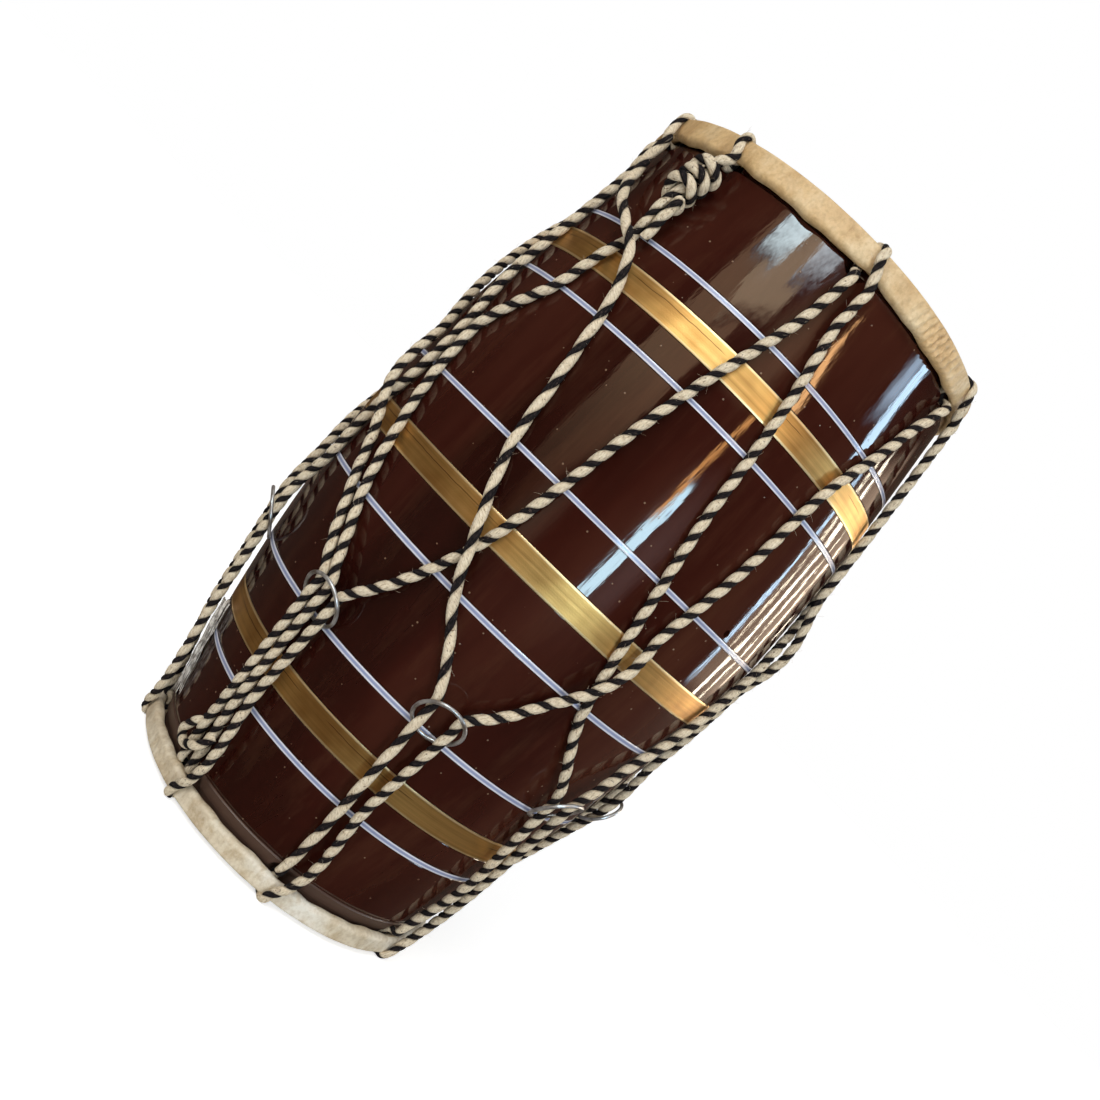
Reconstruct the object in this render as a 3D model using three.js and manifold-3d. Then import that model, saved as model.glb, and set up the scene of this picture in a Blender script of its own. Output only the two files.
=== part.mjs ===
// A dholak, the two-headed barrel drum of northern India, standing on its treble head.
//
// The shell is one hollow barrel of wood, turned on a lathe. Both ends are turned down to a
// neck, so that the lacing can pass between the neck and the hoop. Three gilt bands and six
// white strips lie in shallow grooves round the barrel. At each end a parchment skin is
// lapped round a flat hoop, and one rope laces both hoops together in a zigzag: at every
// point it comes up under the hoop, through the skin and over the rim, and runs back outside.
// A wire ring rides on each pair of ropes at the treble end and slides to tune the drum.
//
// Millimetres, +Z along the drum's axis towards the bass head. The origin is on the axis, in
// the plane that the treble head's rope loops stand on. An angle of zero faces -Y and angles
// grow towards +X.

import * as THREE from 'three';
import { mergeVertices } from 'three/addons/utils/BufferGeometryUtils.js';
import Module from 'manifold-3d';

const wasm = await Module();
wasm.setup();

// Driving sizes of the barrel
const drumLength = 460;
const bellyRadius = 138.7;
const trebleEndRadius = 100.7;
const bassEndRadius = 115.1;
const bellyShare = 0.578;
const wallThickness = 15;
const endWall = 9;
const edgeCrown = 1.6;
const edgeBevel = 3.5;
const ventDiameter = 4.6;
const ventHeightShare = 0.587;
const ventAngle = 45.8;
const scribeDistance = 19.5;
const scribeWidth = 1.8;
const scribeDepth = 0.7;

// Driving sizes of the heads
const trebleHoopRadius = 109;
const bassHoopRadius = 122.5;
const trebleBandHeight = 12;
const bassBandHeight = 14.5;
const trebleSkin = 0.9;
const bassSkin = 1.2;
const trebleHoopThickness = 3.6;
const bassHoopThickness = 4;
const rimRound = 1.6;
const lapSlit = 1.6;
const hoopDrop = 0.7;
const pasteRadius = 52;
const pasteThickness = 3.2;

// Driving sizes of the lacing and of its rings
const ropeDiameter = 6;
const ropeSqueezeShare = 0.75;
const ropeProud = 3.5;
const standFlat = 0.6;
const ringWire = 2.2;
const ringDiameter = 31;
const ringTilt = 26;
const ringTravel = 40;
const ringHeight = 138;
const pairSpare = 1;
const pairTopHalf = 8.9;
const pairBottomHalf = 5.2;
const pairTopShare = 0.66;

// Gilt bands and white strips: width, and lower edge as a share of the drum's length
const goldWidth = 15.4;
const whiteWidth = 2.6;
const stripThickness = 0.8;
const goldPlaceShares = {
  gold_band_treble: 0.1826,
  gold_band_belly: 0.4752,
  gold_band_bass: 0.7743,
};
const whitePlaceShares = {
  white_strip_1: 0.14,
  white_strip_2: 0.2735,
  white_strip_3: 0.4104,
  white_strip_4: 0.5717,
  white_strip_5: 0.7333,
  white_strip_6: 0.8365,
};

// Clearances
const seatGap = 0.3;
const ropeGap = 0.3;
const restGap = 0.5;
const crossingGap = 0.9;
const ringClear = 0.6;
const cutGap = 0.25;

// Facet counts
const turns = 36;
const ropeSides = 6;
const wrapSteps = 14;
const ringSides = 6;
const ringSteps = 14;
const ventSides = 10;
const weldGap = 0.0003;
const straightBend = 0.003;

// Sizes worked out from those above
const ropeRadius = ropeDiameter / 2;
const thinRope = ropeDiameter * ropeSqueezeShare;
const facetSag = bassHoopRadius * (1 - Math.cos(Math.PI / turns));
const channel = thinRope + 2 * ropeGap + facetSag;
const rimAxis = ropeProud - thinRope / 2;
const standHeight = ropeProud - standFlat;
const ringRadius = (ringDiameter - ringWire) / 2;
const pairTop = ringHeight + ringRadius * pairTopShare;
const pairBottom = ringHeight - ringTravel - ringDiameter / 2 - pairSpare;
const ventHeight = drumLength * ventHeightShare;
const ringLift = ringRadius * Math.sin(THREE.MathUtils.degToRad(ringTilt));
const pairLift = ringLift + ringWire / 2 + seatGap + ringClear;
const restLift = ropeRadius + restGap;
const overLift = ropeDiameter + crossingGap;
const grooveDepth = stripThickness + seatGap;

// One head: its radii, its lapped hoop and the channel that the rope runs in under the hoop
const headSizes = (hoopRadius, bandHeight, skin, hoopThickness) => {
  const wrapped = hoopThickness + 2 * skin + 2 * seatGap;
  return {
    hoopRadius,
    bandHeight,
    skin,
    wrapped,
    lapRadius: wrapped / 2,
    inner: hoopRadius - wrapped,
    middle: hoopRadius - wrapped / 2,
    lapDepth: bandHeight - wrapped / 2,
    neck: hoopRadius - wrapped - channel,
    channelMiddle: hoopRadius - wrapped - channel + ropeGap + thinRope / 2,
    outside: hoopRadius + ropeGap + thinRope / 2,
    edge: skin + seatGap,
  };
};
const treble = headSizes(trebleHoopRadius, trebleBandHeight, trebleSkin, trebleHoopThickness);
const bass = headSizes(bassHoopRadius, bassBandHeight, bassSkin, bassHoopThickness);

// Outline of the barrel: how far it has swelled between an end and the belly
const lowerSwellShares = [
  [0, 0], [0.094, 0.126], [0.244, 0.35], [0.477, 0.684], [0.714, 0.924], [0.857, 0.992], [1, 1],
];
const upperSwellShares = [[0, 0], [0.103, 0.119], [0.381, 0.479], [0.629, 0.767], [1, 1]];

// A smooth curve through a table of [place, value] rows, by cubic Hermite pieces
const smooth = (table, x) => {
  let i = 0;
  while (i < table.length - 2 && x > table[i + 1][0]) i += 1;
  const slope = (k) => {
    const a = Math.max(k - 1, 0);
    const b = Math.min(k + 1, table.length - 1);
    return (table[b][1] - table[a][1]) / (table[b][0] - table[a][0]);
  };
  const span = table[i + 1][0] - table[i][0];
  const t = THREE.MathUtils.clamp((x - table[i][0]) / span, 0, 1);
  const t2 = t * t;
  const t3 = t2 * t;
  return (2 * t3 - 3 * t2 + 1) * table[i][1] + (t3 - 2 * t2 + t) * span * slope(i)
    + (3 * t2 - 2 * t3) * table[i + 1][1] + (t3 - t2) * span * slope(i + 1);
};

// Outer radius of the barrel at a distance from the treble rim
const bellyHeight = drumLength * bellyShare;
const shellRadius = (z) => {
  if (z <= bellyHeight) {
    const swell = smooth(lowerSwellShares, z / bellyHeight);
    return trebleEndRadius + swell * (bellyRadius - trebleEndRadius);
  }
  const swell = smooth(upperSwellShares, (drumLength - z) / (drumLength - bellyHeight));
  return bassEndRadius + swell * (bellyRadius - bassEndRadius);
};

// A solid of revolution from a closed outline of [radius, height] points, counterclockwise
const revolve = (outline) => {
  const points = outline.map(([r, z]) => new THREE.Vector2(r, z));
  const onAxis = outline[0][0] === 0;
  if (!onAxis) points.push(points[0].clone());
  return new THREE.LatheGeometry(points, turns).rotateX(Math.PI / 2);
};

// Between a three.js geometry and a solid that can be cut
const toSolid = (geometry) => {
  const bare = geometry.clone();
  bare.deleteAttribute('normal');
  bare.deleteAttribute('uv');
  const merged = mergeVertices(bare, weldGap);
  return new wasm.Manifold(new wasm.Mesh({
    numProp: 3,
    vertProperties: new Float32Array(merged.attributes.position.array),
    triVerts: new Uint32Array(merged.index.array),
  }));
};
const toGeometry = (solid) => {
  const mesh = solid.getMesh();
  const geometry = new THREE.BufferGeometry();
  const positions = new Float32Array(mesh.vertProperties);
  geometry.setAttribute('position', new THREE.BufferAttribute(positions, 3));
  geometry.setIndex(new THREE.BufferAttribute(new Uint32Array(mesh.triVerts), 1));
  geometry.computeVertexNormals();
  return geometry;
};

// A point at a radius, an angle in degrees and a height
const polar = (radius, angle, z) => {
  const a = THREE.MathUtils.degToRad(angle);
  return new THREE.Vector3(radius * Math.sin(a), -radius * Math.cos(a), z);
};

// Colours and finishes
const finish = (color, roughness, metalness) => (
  new THREE.MeshStandardMaterial({ color, roughness, metalness })
);
const lacquer = finish(0x3a1710, 0.2, 0);
const gilt = finish(0xb08a4e, 0.3, 0.4);
const white = finish(0xb4b4c0, 0.35, 0);
const parchment = finish(0xe2d3ae, 0.6, 0);
const paleParchment = finish(0xe6dfcc, 0.6, 0);
const cane = finish(0x9c7a4c, 0.7, 0);
const cotton = finish(0xcdc3a4, 0.95, 0);
const steel = finish(0xa8aab2, 0.3, 0.9);
const darkPaste = finish(0x2a2420, 0.9, 0);

const drum = new THREE.Group();
drum.position.z = standHeight;
const add = (name, geometry, material) => {
  const mesh = new THREE.Mesh(geometry, material);
  mesh.name = name;
  drum.add(mesh);
  return mesh;
};

// The cove at an end, turned round the lapped hoop's inner edge so that the rope can pass.
// It gives [radius, depth below the rim] points from the neck to the barrel's surface.
const coveShares = [0, 0.32, 0.64];
const cove = (head, surfaceAt) => {
  const radius = head.lapRadius + channel;
  let depth = head.lapDepth + radius;
  for (let k = 0; k < 8; k += 1) {
    const reach = head.middle - surfaceAt(depth);
    depth = head.lapDepth + Math.sqrt(radius * radius - reach * reach);
  }
  const surface = surfaceAt(depth);
  const end = Math.atan2(depth - head.lapDepth, surface - head.middle);
  const points = coveShares.map((share) => {
    const a = Math.PI + share * (end - Math.PI);
    return [head.middle + radius * Math.cos(a), head.lapDepth + radius * Math.sin(a)];
  });
  points.push([surface, depth]);
  return points;
};
const bassSurface = (depth) => shellRadius(drumLength - depth);
const trebleCove = cove(treble, shellRadius);
const bassCove = cove(bass, bassSurface);

// The bearing edge of an end, from its bore to its neck, as [radius, depth] points
const bearingEdge = (head) => [
  [head.neck - endWall, head.edge + edgeBevel],
  [head.neck - endWall / 2, head.edge],
  [head.neck - edgeCrown, head.edge],
  [head.neck, head.edge + edgeCrown],
];

// Grooves for the bands and strips: two lips and two floor corners each
const stripRows = (placeShares, width, material) => (
  Object.entries(placeShares).map(([name, share]) => {
    const low = share * drumLength;
    return { name, low, high: low + width, material };
  })
);
const strips = [
  ...stripRows(goldPlaceShares, goldWidth, gilt),
  ...stripRows(whitePlaceShares, whiteWidth, white),
].sort((a, b) => a.low - b.low);
const outerLine = [];
const fillShares = [1 / 3, 2 / 3];
let reached = trebleCove[trebleCove.length - 1][1];
const swellTo = (to) => {
  if (to - reached > wallThickness * 3) {
    fillShares.forEach((share) => {
      const z = reached + share * (to - reached);
      outerLine.push([shellRadius(z), z]);
    });
  }
  reached = to;
};
outerLine.push([shellRadius(scribeDistance - scribeWidth / 2), scribeDistance - scribeWidth / 2]);
outerLine.push([shellRadius(scribeDistance) - scribeDepth, scribeDistance]);
outerLine.push([shellRadius(scribeDistance + scribeWidth / 2), scribeDistance + scribeWidth / 2]);
reached = scribeDistance;
strips.forEach(({ low, high }) => {
  const a = low - seatGap;
  const b = high + seatGap;
  swellTo(a);
  outerLine.push([shellRadius(a), a], [shellRadius(a) - grooveDepth, a]);
  outerLine.push([shellRadius(b) - grooveDepth, b], [shellRadius(b), b]);
  reached = b;
});
swellTo(drumLength - bassCove[bassCove.length - 1][1]);

const boreShares = [0.86, 0.72, 0.578, 0.41, 0.27, 0.14];
const flip = (points) => points.map(([r, depth]) => [r, drumLength - depth]);
const shellOutline = [
  ...bearingEdge(treble),
  ...trebleCove,
  ...outerLine,
  ...flip(bassCove).reverse(),
  ...flip(bearingEdge(bass)).reverse(),
  ...boreShares.map((share) => [shellRadius(share * drumLength) - wallThickness, share * drumLength]),
];
const ventReach = wallThickness * 2;
const vent = new THREE.CylinderGeometry(ventDiameter / 2, ventDiameter / 2, ventReach, ventSides);
const ventPoint = polar(shellRadius(ventHeight) - wallThickness / 2, ventAngle, ventHeight);
vent.rotateZ(THREE.MathUtils.degToRad(ventAngle));
vent.translate(ventPoint.x, ventPoint.y, ventPoint.z);
add('shell', toGeometry(toSolid(revolve(shellOutline)).subtract(toSolid(vent))), lacquer);

// The bands and strips in their grooves, flush with the barrel
strips.forEach(({ name, low, high, material }) => {
  add(name, revolve([
    [shellRadius(low) - stripThickness, low],
    [shellRadius(low), low],
    [shellRadius(high), high],
    [shellRadius(high) - stripThickness, high],
  ]), material);
});

// A head's skin: a flat membrane, turned over the rim, down outside the hoop, round its lower
// edge and up inside, where the lap ends short of the membrane
const diagonal = Math.SQRT1_2;
const skinOutline = (h) => [
  [0, 0],
  [h.hoopRadius - rimRound, 0],
  [h.hoopRadius - rimRound * (1 - diagonal), rimRound * (1 - diagonal)],
  [h.hoopRadius, rimRound],
  [h.hoopRadius, h.lapDepth],
  [h.middle + h.lapRadius * diagonal, h.lapDepth + h.lapRadius * diagonal],
  [h.middle, h.bandHeight],
  [h.middle - h.lapRadius * diagonal, h.lapDepth + h.lapRadius * diagonal],
  [h.inner, h.lapDepth],
  [h.inner, h.skin + lapSlit],
  [h.inner + h.skin, h.skin + lapSlit],
  [h.inner + h.skin, h.lapDepth],
  [h.middle, h.bandHeight - h.skin],
  [h.hoopRadius - h.skin, h.lapDepth],
  [h.hoopRadius - h.skin, h.skin],
  [0, h.skin],
];

// The hoop in the skin's lap: a flat strip with its lower edge brought to a ridge
const hoopOutline = (h) => {
  const low = h.skin + hoopDrop;
  const outer = h.hoopRadius - h.skin - seatGap;
  const inner = h.inner + h.skin + seatGap;
  return [
    [inner, low],
    [outer, low],
    [outer, h.lapDepth],
    [h.middle, h.bandHeight - h.skin - seatGap],
    [inner, h.lapDepth],
  ];
};
add('treble_hoop', revolve(hoopOutline(treble)), cane);
add('bass_hoop', revolve(flip(hoopOutline(bass)).reverse()), cane);

// The paste on the inner side of the bass skin
const pasteTop = drumLength - bass.skin - seatGap;
add('bass_tuning_paste', revolve([
  [0, pasteTop - pasteThickness],
  [pasteRadius / 2, pasteTop - pasteThickness],
  [pasteRadius, pasteTop - pasteThickness / 4],
  [pasteRadius, pasteTop],
  [0, pasteTop],
]), darkPaste);

// The lacing. Angles of the hoop points: where the rope enters under the hoop and where it
// leaves over it. The rope winds twice round the drum, so the angles run on past a full turn.
const trebleHoles = {
  b2: [-30.6, -26.6], b4: [60.3, 64.4], b6: [163, 167.1], b1: [288, 292.1],
  b3: [370.1, 374.2], b5: [461.4, 465.5], b7: [587, 591.1],
};
const bassHoles = {
  t2: [-38.4, -34.5], t3: [6.6, 10.3], t5: [110.2, 113.9], t7: [200.2, 203.9],
  t1: [293.6, 297.3], t4: [417, 421.5], t6: [518.2, 521.9], t0: [602.2, 605.9],
};
const endHole = 684.3;
const rimTurnShare = 0.45;

// Angles at which a pair of ropes passes the top and the bottom of its ring's travel
const pairAngles = {
  b2: [-27.8, -28.2], b4: [47.5, 55.5], b6: [156, 161], b1: [291.5, 290.5],
  b3: [369.3, 370.4], b5: [451, 458.5], b7: [584, 587],
};

// The runs between the hoops, as [share of the drum's length from the treble rim, angle] rows
// chosen by hand from the bass end down
const runShares = {
  a: [[0.93, -35.6], [0.89, -36.8], [0.852, -37.6], [0.818, -38.4], [0.785, -40.2], [0.73, -42.5],
    [0.69, -47.1], [0.641, -51.4], [0.598, -50.2], [0.546, -48.1], [0.493, -44.8], [0.465, -43.2],
    [0.404, -38.6], [0.374, -34.6]],
  b2t3: [[0.943, 6.4], [0.88, 4.9], [0.754, -1], [0.652, -4.4], [0.572, -6.4], [0.47, -10.1],
    [0.376, -17.4]],
  t3b4: [[0.9, 11.4], [0.817, 15], [0.759, 16.8], [0.652, 19.4], [0.554, 23.2], [0.452, 28.3],
    [0.4, 32.4]],
  b4t5: [[0.943, 107.5], [0.826, 97.5], [0.622, 77.6], [0.391, 57.5]],
  t5b6: [[0.943, 115], [0.728, 129], [0.435, 146.5]],
  b6t7: [[0.943, 198], [0.728, 185], [0.435, 166]],
  t7b1: [[0.943, 207], [0.728, 234], [0.522, 261], [0.391, 279.5]],
  b1t1: [[0.943, 293.8], [0.87, 297.4], [0.77, 298.6], [0.724, 299], [0.689, 300.6], [0.639, 303.9],
    [0.567, 305], [0.5, 301.4], [0.422, 298.9], [0.37, 295.6]],
  t1b3: [[0.93, 300.5], [0.9, 304.4], [0.867, 310.4], [0.838, 319.6], [0.822, 325], [0.806, 328.2],
    [0.761, 331.8], [0.654, 336.9], [0.563, 340.6], [0.476, 348.5], [0.409, 354.1], [0.36, 361.2]],
  b3t4: [[0.943, 413], [0.859, 405.2], [0.774, 397.8], [0.646, 394.6], [0.541, 391], [0.476, 389.6],
    [0.37, 380.6]],
  t4b5: [[0.943, 424], [0.728, 433], [0.622, 437.6], [0.435, 445]],
  b5t6: [[0.943, 515.5], [0.728, 492], [0.435, 463.5]],
  t6b7: [[0.943, 524], [0.728, 544], [0.435, 571]],
  b7t0: [[0.943, 601], [0.728, 596], [0.435, 589.5]],
  t0b2: [[0.943, 608.5], [0.826, 625], [0.713, 641.5], [0.624, 654.6], [0.574, 659.9], [0.528, 663.8],
    [0.485, 668.8], [0.452, 671.6], [0.415, 675.4], [0.378, 680.2], [0.345, 685.2]],
};

// Where one run lies over another one, in the order in which the drum was laced
const crossings = [
  ['t1b3', 'a'], ['t1b3', 'b2t3'], ['b3t4', 't3b4'], ['t4b5', 'b4t5'],
  ['b5t6', 't5b6'], ['t6b7', 'b6t7'], ['b7t0', 't7b1'], ['t0b2', 'b1t1'],
];

// Heights that every run shares
const trebleCoveMouth = 24;
const bassCoveMouth = 26;
const mouthLift = 2.7;
const mouthReach = 20;
const restFrom = 188;
const leaveAt = 335;
const bumpReach = 42;
const stationStep = 42;
const stationTurn = 7.5;

// Two ropes of a pair at a point of its ring's travel, straight between the two ends
const pairEnd = (point, atTop) => {
  const z = atTop ? pairTop : pairBottom;
  const angle = pairAngles[point][atTop ? 0 : 1];
  return polar(shellRadius(z) + pairLift, angle, z);
};
const sideways = (point) => {
  const [high, low] = pairAngles[point];
  return polar(1, (high + low) / 2 + 90, 0);
};
const pairPoint = ({ pair, side, low = side }, atTop) => {
  const across = atTop ? pairTopHalf * side : pairBottomHalf * low;
  return pairEnd(pair, atTop).addScaledVector(sideways(pair), across);
};
const angleOf = (point, near) => {
  const angle = THREE.MathUtils.radToDeg(Math.atan2(point.x, -point.y));
  return angle + 360 * Math.round((near - angle) / 360);
};

// The angle of a run at a height: through its table, and at the pair's end through its ring
const fullTable = (name) => {
  const rows = runShares[name].map(([share, angle]) => [share * drumLength, angle]);
  const lowest = rows[rows.length - 1][1];
  rows.push([pairTop, angleOf(pairPoint(runEnds[name], true), lowest)]);
  return rows.reverse();
};

// Where each run passes its ring, as a share of the pair's half width at the upper end, and
// at the lower end if it differs. The rope's first and last runs share the ring at b2.
const runEnds = {
  a: { pair: 'b2', side: -0.12, low: -0.5 }, b2t3: { pair: 'b2', side: 1, low: 0.96 },
  t3b4: { pair: 'b4', side: -1 }, b4t5: { pair: 'b4', side: 1 },
  t5b6: { pair: 'b6', side: -1 }, b6t7: { pair: 'b6', side: 1 },
  t7b1: { pair: 'b1', side: -1 }, b1t1: { pair: 'b1', side: 1 },
  t1b3: { pair: 'b3', side: -1 }, b3t4: { pair: 'b3', side: 1 },
  t4b5: { pair: 'b5', side: -1 }, b5t6: { pair: 'b5', side: 1 },
  t6b7: { pair: 'b7', side: -1 }, b7t0: { pair: 'b7', side: 1 },
  t0b2: { pair: 'b2', side: -1, low: -1.77 },
};
const tables = Object.fromEntries(Object.keys(runShares).map((name) => [name, fullTable(name)]));

// Where two runs meet, found by halving the height between the pairs and the bass hoop
const apart = (one, other, z) => {
  const d = smooth(tables[one], z) - smooth(tables[other], z);
  return d - 360 * Math.round(d / 360);
};
const meetingHeight = (one, other) => {
  let low = pairTop + ropeDiameter;
  let high = drumLength - bassCoveMouth;
  const start = Math.sign(apart(one, other, low));
  for (let k = 0; k < 40; k += 1) {
    const middle = (low + high) / 2;
    if (Math.sign(apart(one, other, middle)) === start) low = middle;
    else high = middle;
  }
  return (low + high) / 2;
};
const bumps = crossings.map(([over, under]) => ({ over, z: meetingHeight(over, under) }));

// The rope's height over the barrel at a height, for a run that ends outside or under a hoop
const ease = (t) => {
  const u = THREE.MathUtils.clamp(t, 0, 1);
  return u * u * (3 - 2 * u);
};
const outsideLift = (z) => {
  const hoop = bass.hoopRadius + restLift;
  const leave = shellRadius(leaveAt) + restLift;
  const t = (z - leaveAt) / (drumLength - bass.bandHeight - leaveAt);
  return leave + t * (hoop - leave) - shellRadius(z);
};
const runLift = (name, z, outside) => {
  let lift = restLift;
  if (z < restFrom) {
    lift += (pairLift - restLift) * ease((restFrom - z) / (restFrom - pairTop));
  }
  if (outside && z > leaveAt) lift = Math.max(lift, outsideLift(z));
  if (!outside) lift += mouthLift * ease(1 - (drumLength - bassCoveMouth - z) / mouthReach);
  bumps.filter((bump) => bump.over === name).forEach((bump) => {
    const t = Math.min(Math.abs(z - bump.z) / bumpReach, 1);
    lift += overLift * (1 + Math.cos(Math.PI * t)) / 2;
  });
  return lift;
};

// Heights at which a run gets a ring of its tube, close together near a crossing
const bumpShares = [-1, -0.55, -0.25, 0, 0.25, 0.55, 1];
const stations = (name, outside) => {
  const top = drumLength - (outside ? bass.bandHeight : bassCoveMouth);
  const fixed = [top, restFrom, pairTop];
  bumps.filter((bump) => bump.over === name).forEach((bump) => {
    bumpShares.forEach((share) => fixed.push(bump.z + share * bumpReach));
  });
  runShares[name].forEach(([share]) => fixed.push(share * drumLength));
  const inside = fixed.filter((z) => z <= top && z >= pairTop).sort((a, b) => b - a);
  const list = [];
  inside.forEach((z) => {
    const last = list[list.length - 1];
    const tight = z !== pairTop && last !== undefined && last - z < ropeDiameter;
    if (tight) return;
    if (last !== undefined) {
      const turn = Math.abs(smooth(tables[name], last) - smooth(tables[name], z));
      const count = Math.ceil(Math.max((last - z) / stationStep, turn / stationTurn));
      for (let k = 1; k < count; k += 1) list.push(last + (z - last) * k / count);
    }
    list.push(z);
  });
  return list;
};

// The rope's whole route, as points with the share of its thickness that the hoop leaves
const route = [];
const put = (point, thin = 1, normal = null) => route.push({ point, thin, normal });

// Over a rim, from the channel under the hoop to the outside of the band or back
const rimShares = [
  [0, 0.36], [0.045, 0.12], [0.207, 0], [0.5, 0], [0.743, 0.0125], [0.923, 0.154], [1, 0.36],
];
const rimAngle = (across, [from, to]) => from + across * rimTurnShare * (to - from);
const rimPoint = (head, atBass, [across, down], holes) => {
  const r = head.channelMiddle + across * (head.outside - head.channelMiddle);
  const depth = down * head.bandHeight - rimAxis;
  return polar(r, rimAngle(across, holes), atBass ? drumLength - depth : depth);
};
const rimSlope = (index) => {
  const a = rimShares[Math.max(index - 1, 0)];
  const b = rimShares[Math.min(index + 1, rimShares.length - 1)];
  return [b[0] - a[0], b[1] - a[1]];
};
const rimNormal = (head, atBass, index, angle) => {
  const [across, down] = rimSlope(index);
  const run = across * (head.outside - head.channelMiddle);
  const drop = down * head.bandHeight;
  const out = polar(drop, angle, 0);
  out.z = atBass ? run : -run;
  return out.normalize();
};
const overRim = (head, atBass, holes) => {
  rimShares.forEach((row, index) => {
    const normal = rimNormal(head, atBass, index, rimAngle(row[0], holes));
    put(rimPoint(head, atBass, row, holes), ropeSqueezeShare, normal);
  });
};

// Under a hoop, round the inner edge of its lap, from the barrel to the channel
const coveAngleShares = [0, 0.3, 0.6, 0.95];
const covePath = (head, atBass, angle, surfaceAngle) => {
  const radius = head.lapRadius + channel / 2;
  return coveAngleShares.map((share) => {
    const a = Math.PI * (1 - share * surfaceAngle);
    const r = head.middle + radius * Math.cos(a);
    const depth = head.lapDepth + radius * Math.sin(a);
    const point = polar(r, angle, atBass ? drumLength - depth : depth);
    const normal = polar(-Math.cos(a), angle, 0);
    normal.z = (atBass ? 1 : -1) * Math.sin(a);
    return { point, normal };
  });
};
const trebleCoveTurnShare = 0.56;
const bassCoveTurnShare = 0.6;
const underHoop = (head, atBass, angle) => {
  const share = atBass ? bassCoveTurnShare : trebleCoveTurnShare;
  covePath(head, atBass, angle, share).reverse().forEach(({ point, normal }) => {
    put(point, ropeSqueezeShare, normal);
  });
};

// One run from the bass hoop down to the treble hoop, on its own side of the pair
const runPoints = (name, outside) => stations(name, outside).map((z) => {
  const angle = smooth(tables[name], z);
  return polar(shellRadius(z) + runLift(name, z, outside), angle, z);
});
const downRun = (name, holes, from) => {
  put(polar(bass.hoopRadius + restLift, from, drumLength - bass.bandHeight));
  runPoints(name, true).slice(1).forEach((p) => put(p));
  put(pairPoint(runEnds[name], false));
  put(polar(shellRadius(trebleCoveMouth) + restLift + ropeGap, holes[0], trebleCoveMouth));
  underHoop(treble, false, holes[0]);
};
const upRun = (name, from, holes) => {
  put(polar(treble.hoopRadius + restLift, from, treble.bandHeight));
  put(pairPoint(runEnds[name], false));
  runPoints(name, false).reverse().forEach((p) => put(p));
  underHoop(bass, true, holes[0]);
};

// The noose at the bass hoop: its tail runs up close beside the standing part and takes three
// turns round it, each bowed towards the hoop, before it goes under the hoop and over the rim
const calm = 376;
const nooseFrom = 409;
const nooseTo = 433.6;
const nooseLift = ropeDiameter + crossingGap + restLift + ropeGap * 2;
const nooseTurnShare = 3.417;
const nooseBow = 2.6;
const tailFrom = 384;
const tailStep = 8;
const nooseExit = 438;
const nooseExitAngle = -38.8;
const turnRadius = ropeDiameter + crossingGap + ropeGap;
const standingLift = (z) => restLift + ease((z - calm) / (nooseFrom - calm)) * (nooseLift - restLift);
const besideStanding = (place, a) => {
  const z = place + nooseBow * Math.sin(a);
  const angle = smooth(tables.a, z);
  const point = polar(shellRadius(z) + standingLift(z), angle, z);
  point.addScaledVector(polar(1, angle - 90, 0), turnRadius * Math.cos(a));
  return point.addScaledVector(polar(1, angle, 0), turnRadius * Math.sin(a));
};
for (let z = tailFrom; z < nooseFrom - tailStep / 2; z += tailStep) put(besideStanding(z, Math.PI));
const turnSteps = Math.round(nooseTurnShare * wrapSteps);
for (let k = 0; k <= turnSteps; k += 1) {
  const t = k / turnSteps;
  const z = nooseFrom + t * (nooseTo - nooseFrom);
  put(besideStanding(z, Math.PI * (1 + 2 * nooseTurnShare * t)));
}
put(polar(shellRadius(nooseExit) + restLift + mouthLift, nooseExitAngle, nooseExit));
underHoop(bass, true, bassHoles.t2[0]);
overRim(bass, true, bassHoles.t2);

// The standing part of the noose is lifted off the barrel where the turns go round it
const standing = route.length;
downRun('a', trebleHoles.b2, bassHoles.t2[1]);
for (let k = standing + 1; k < route.length; k += 1) {
  const p = route[k].point;
  if (p.z > calm) {
    const own = Math.hypot(p.x, p.y);
    const wanted = shellRadius(p.z) + standingLift(p.z);
    p.multiply(new THREE.Vector3(wanted / own, wanted / own, 1));
  }
}

// The zigzag, two hoop points at a time
overRim(treble, false, trebleHoles.b2);
const zigzag = [
  ['b2t3', 'b2', 't3', 't3b4', 'b4'], ['b4t5', 'b4', 't5', 't5b6', 'b6'],
  ['b6t7', 'b6', 't7', 't7b1', 'b1'], ['b1t1', 'b1', 't1', 't1b3', 'b3'],
  ['b3t4', 'b3', 't4', 't4b5', 'b5'], ['b5t6', 'b5', 't6', 't6b7', 'b7'],
];
zigzag.forEach(([up, from, over, down, to]) => {
  upRun(up, trebleHoles[from][1], bassHoles[over]);
  overRim(bass, true, bassHoles[over]);
  downRun(down, trebleHoles[to], bassHoles[over][1]);
  overRim(treble, false, trebleHoles[to]);
});
upRun('b7t0', trebleHoles.b7[1], bassHoles.t0);
overRim(bass, true, bassHoles.t0);
downRun('t0b2', [endHole, endHole], bassHoles.t0[1]);

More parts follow.
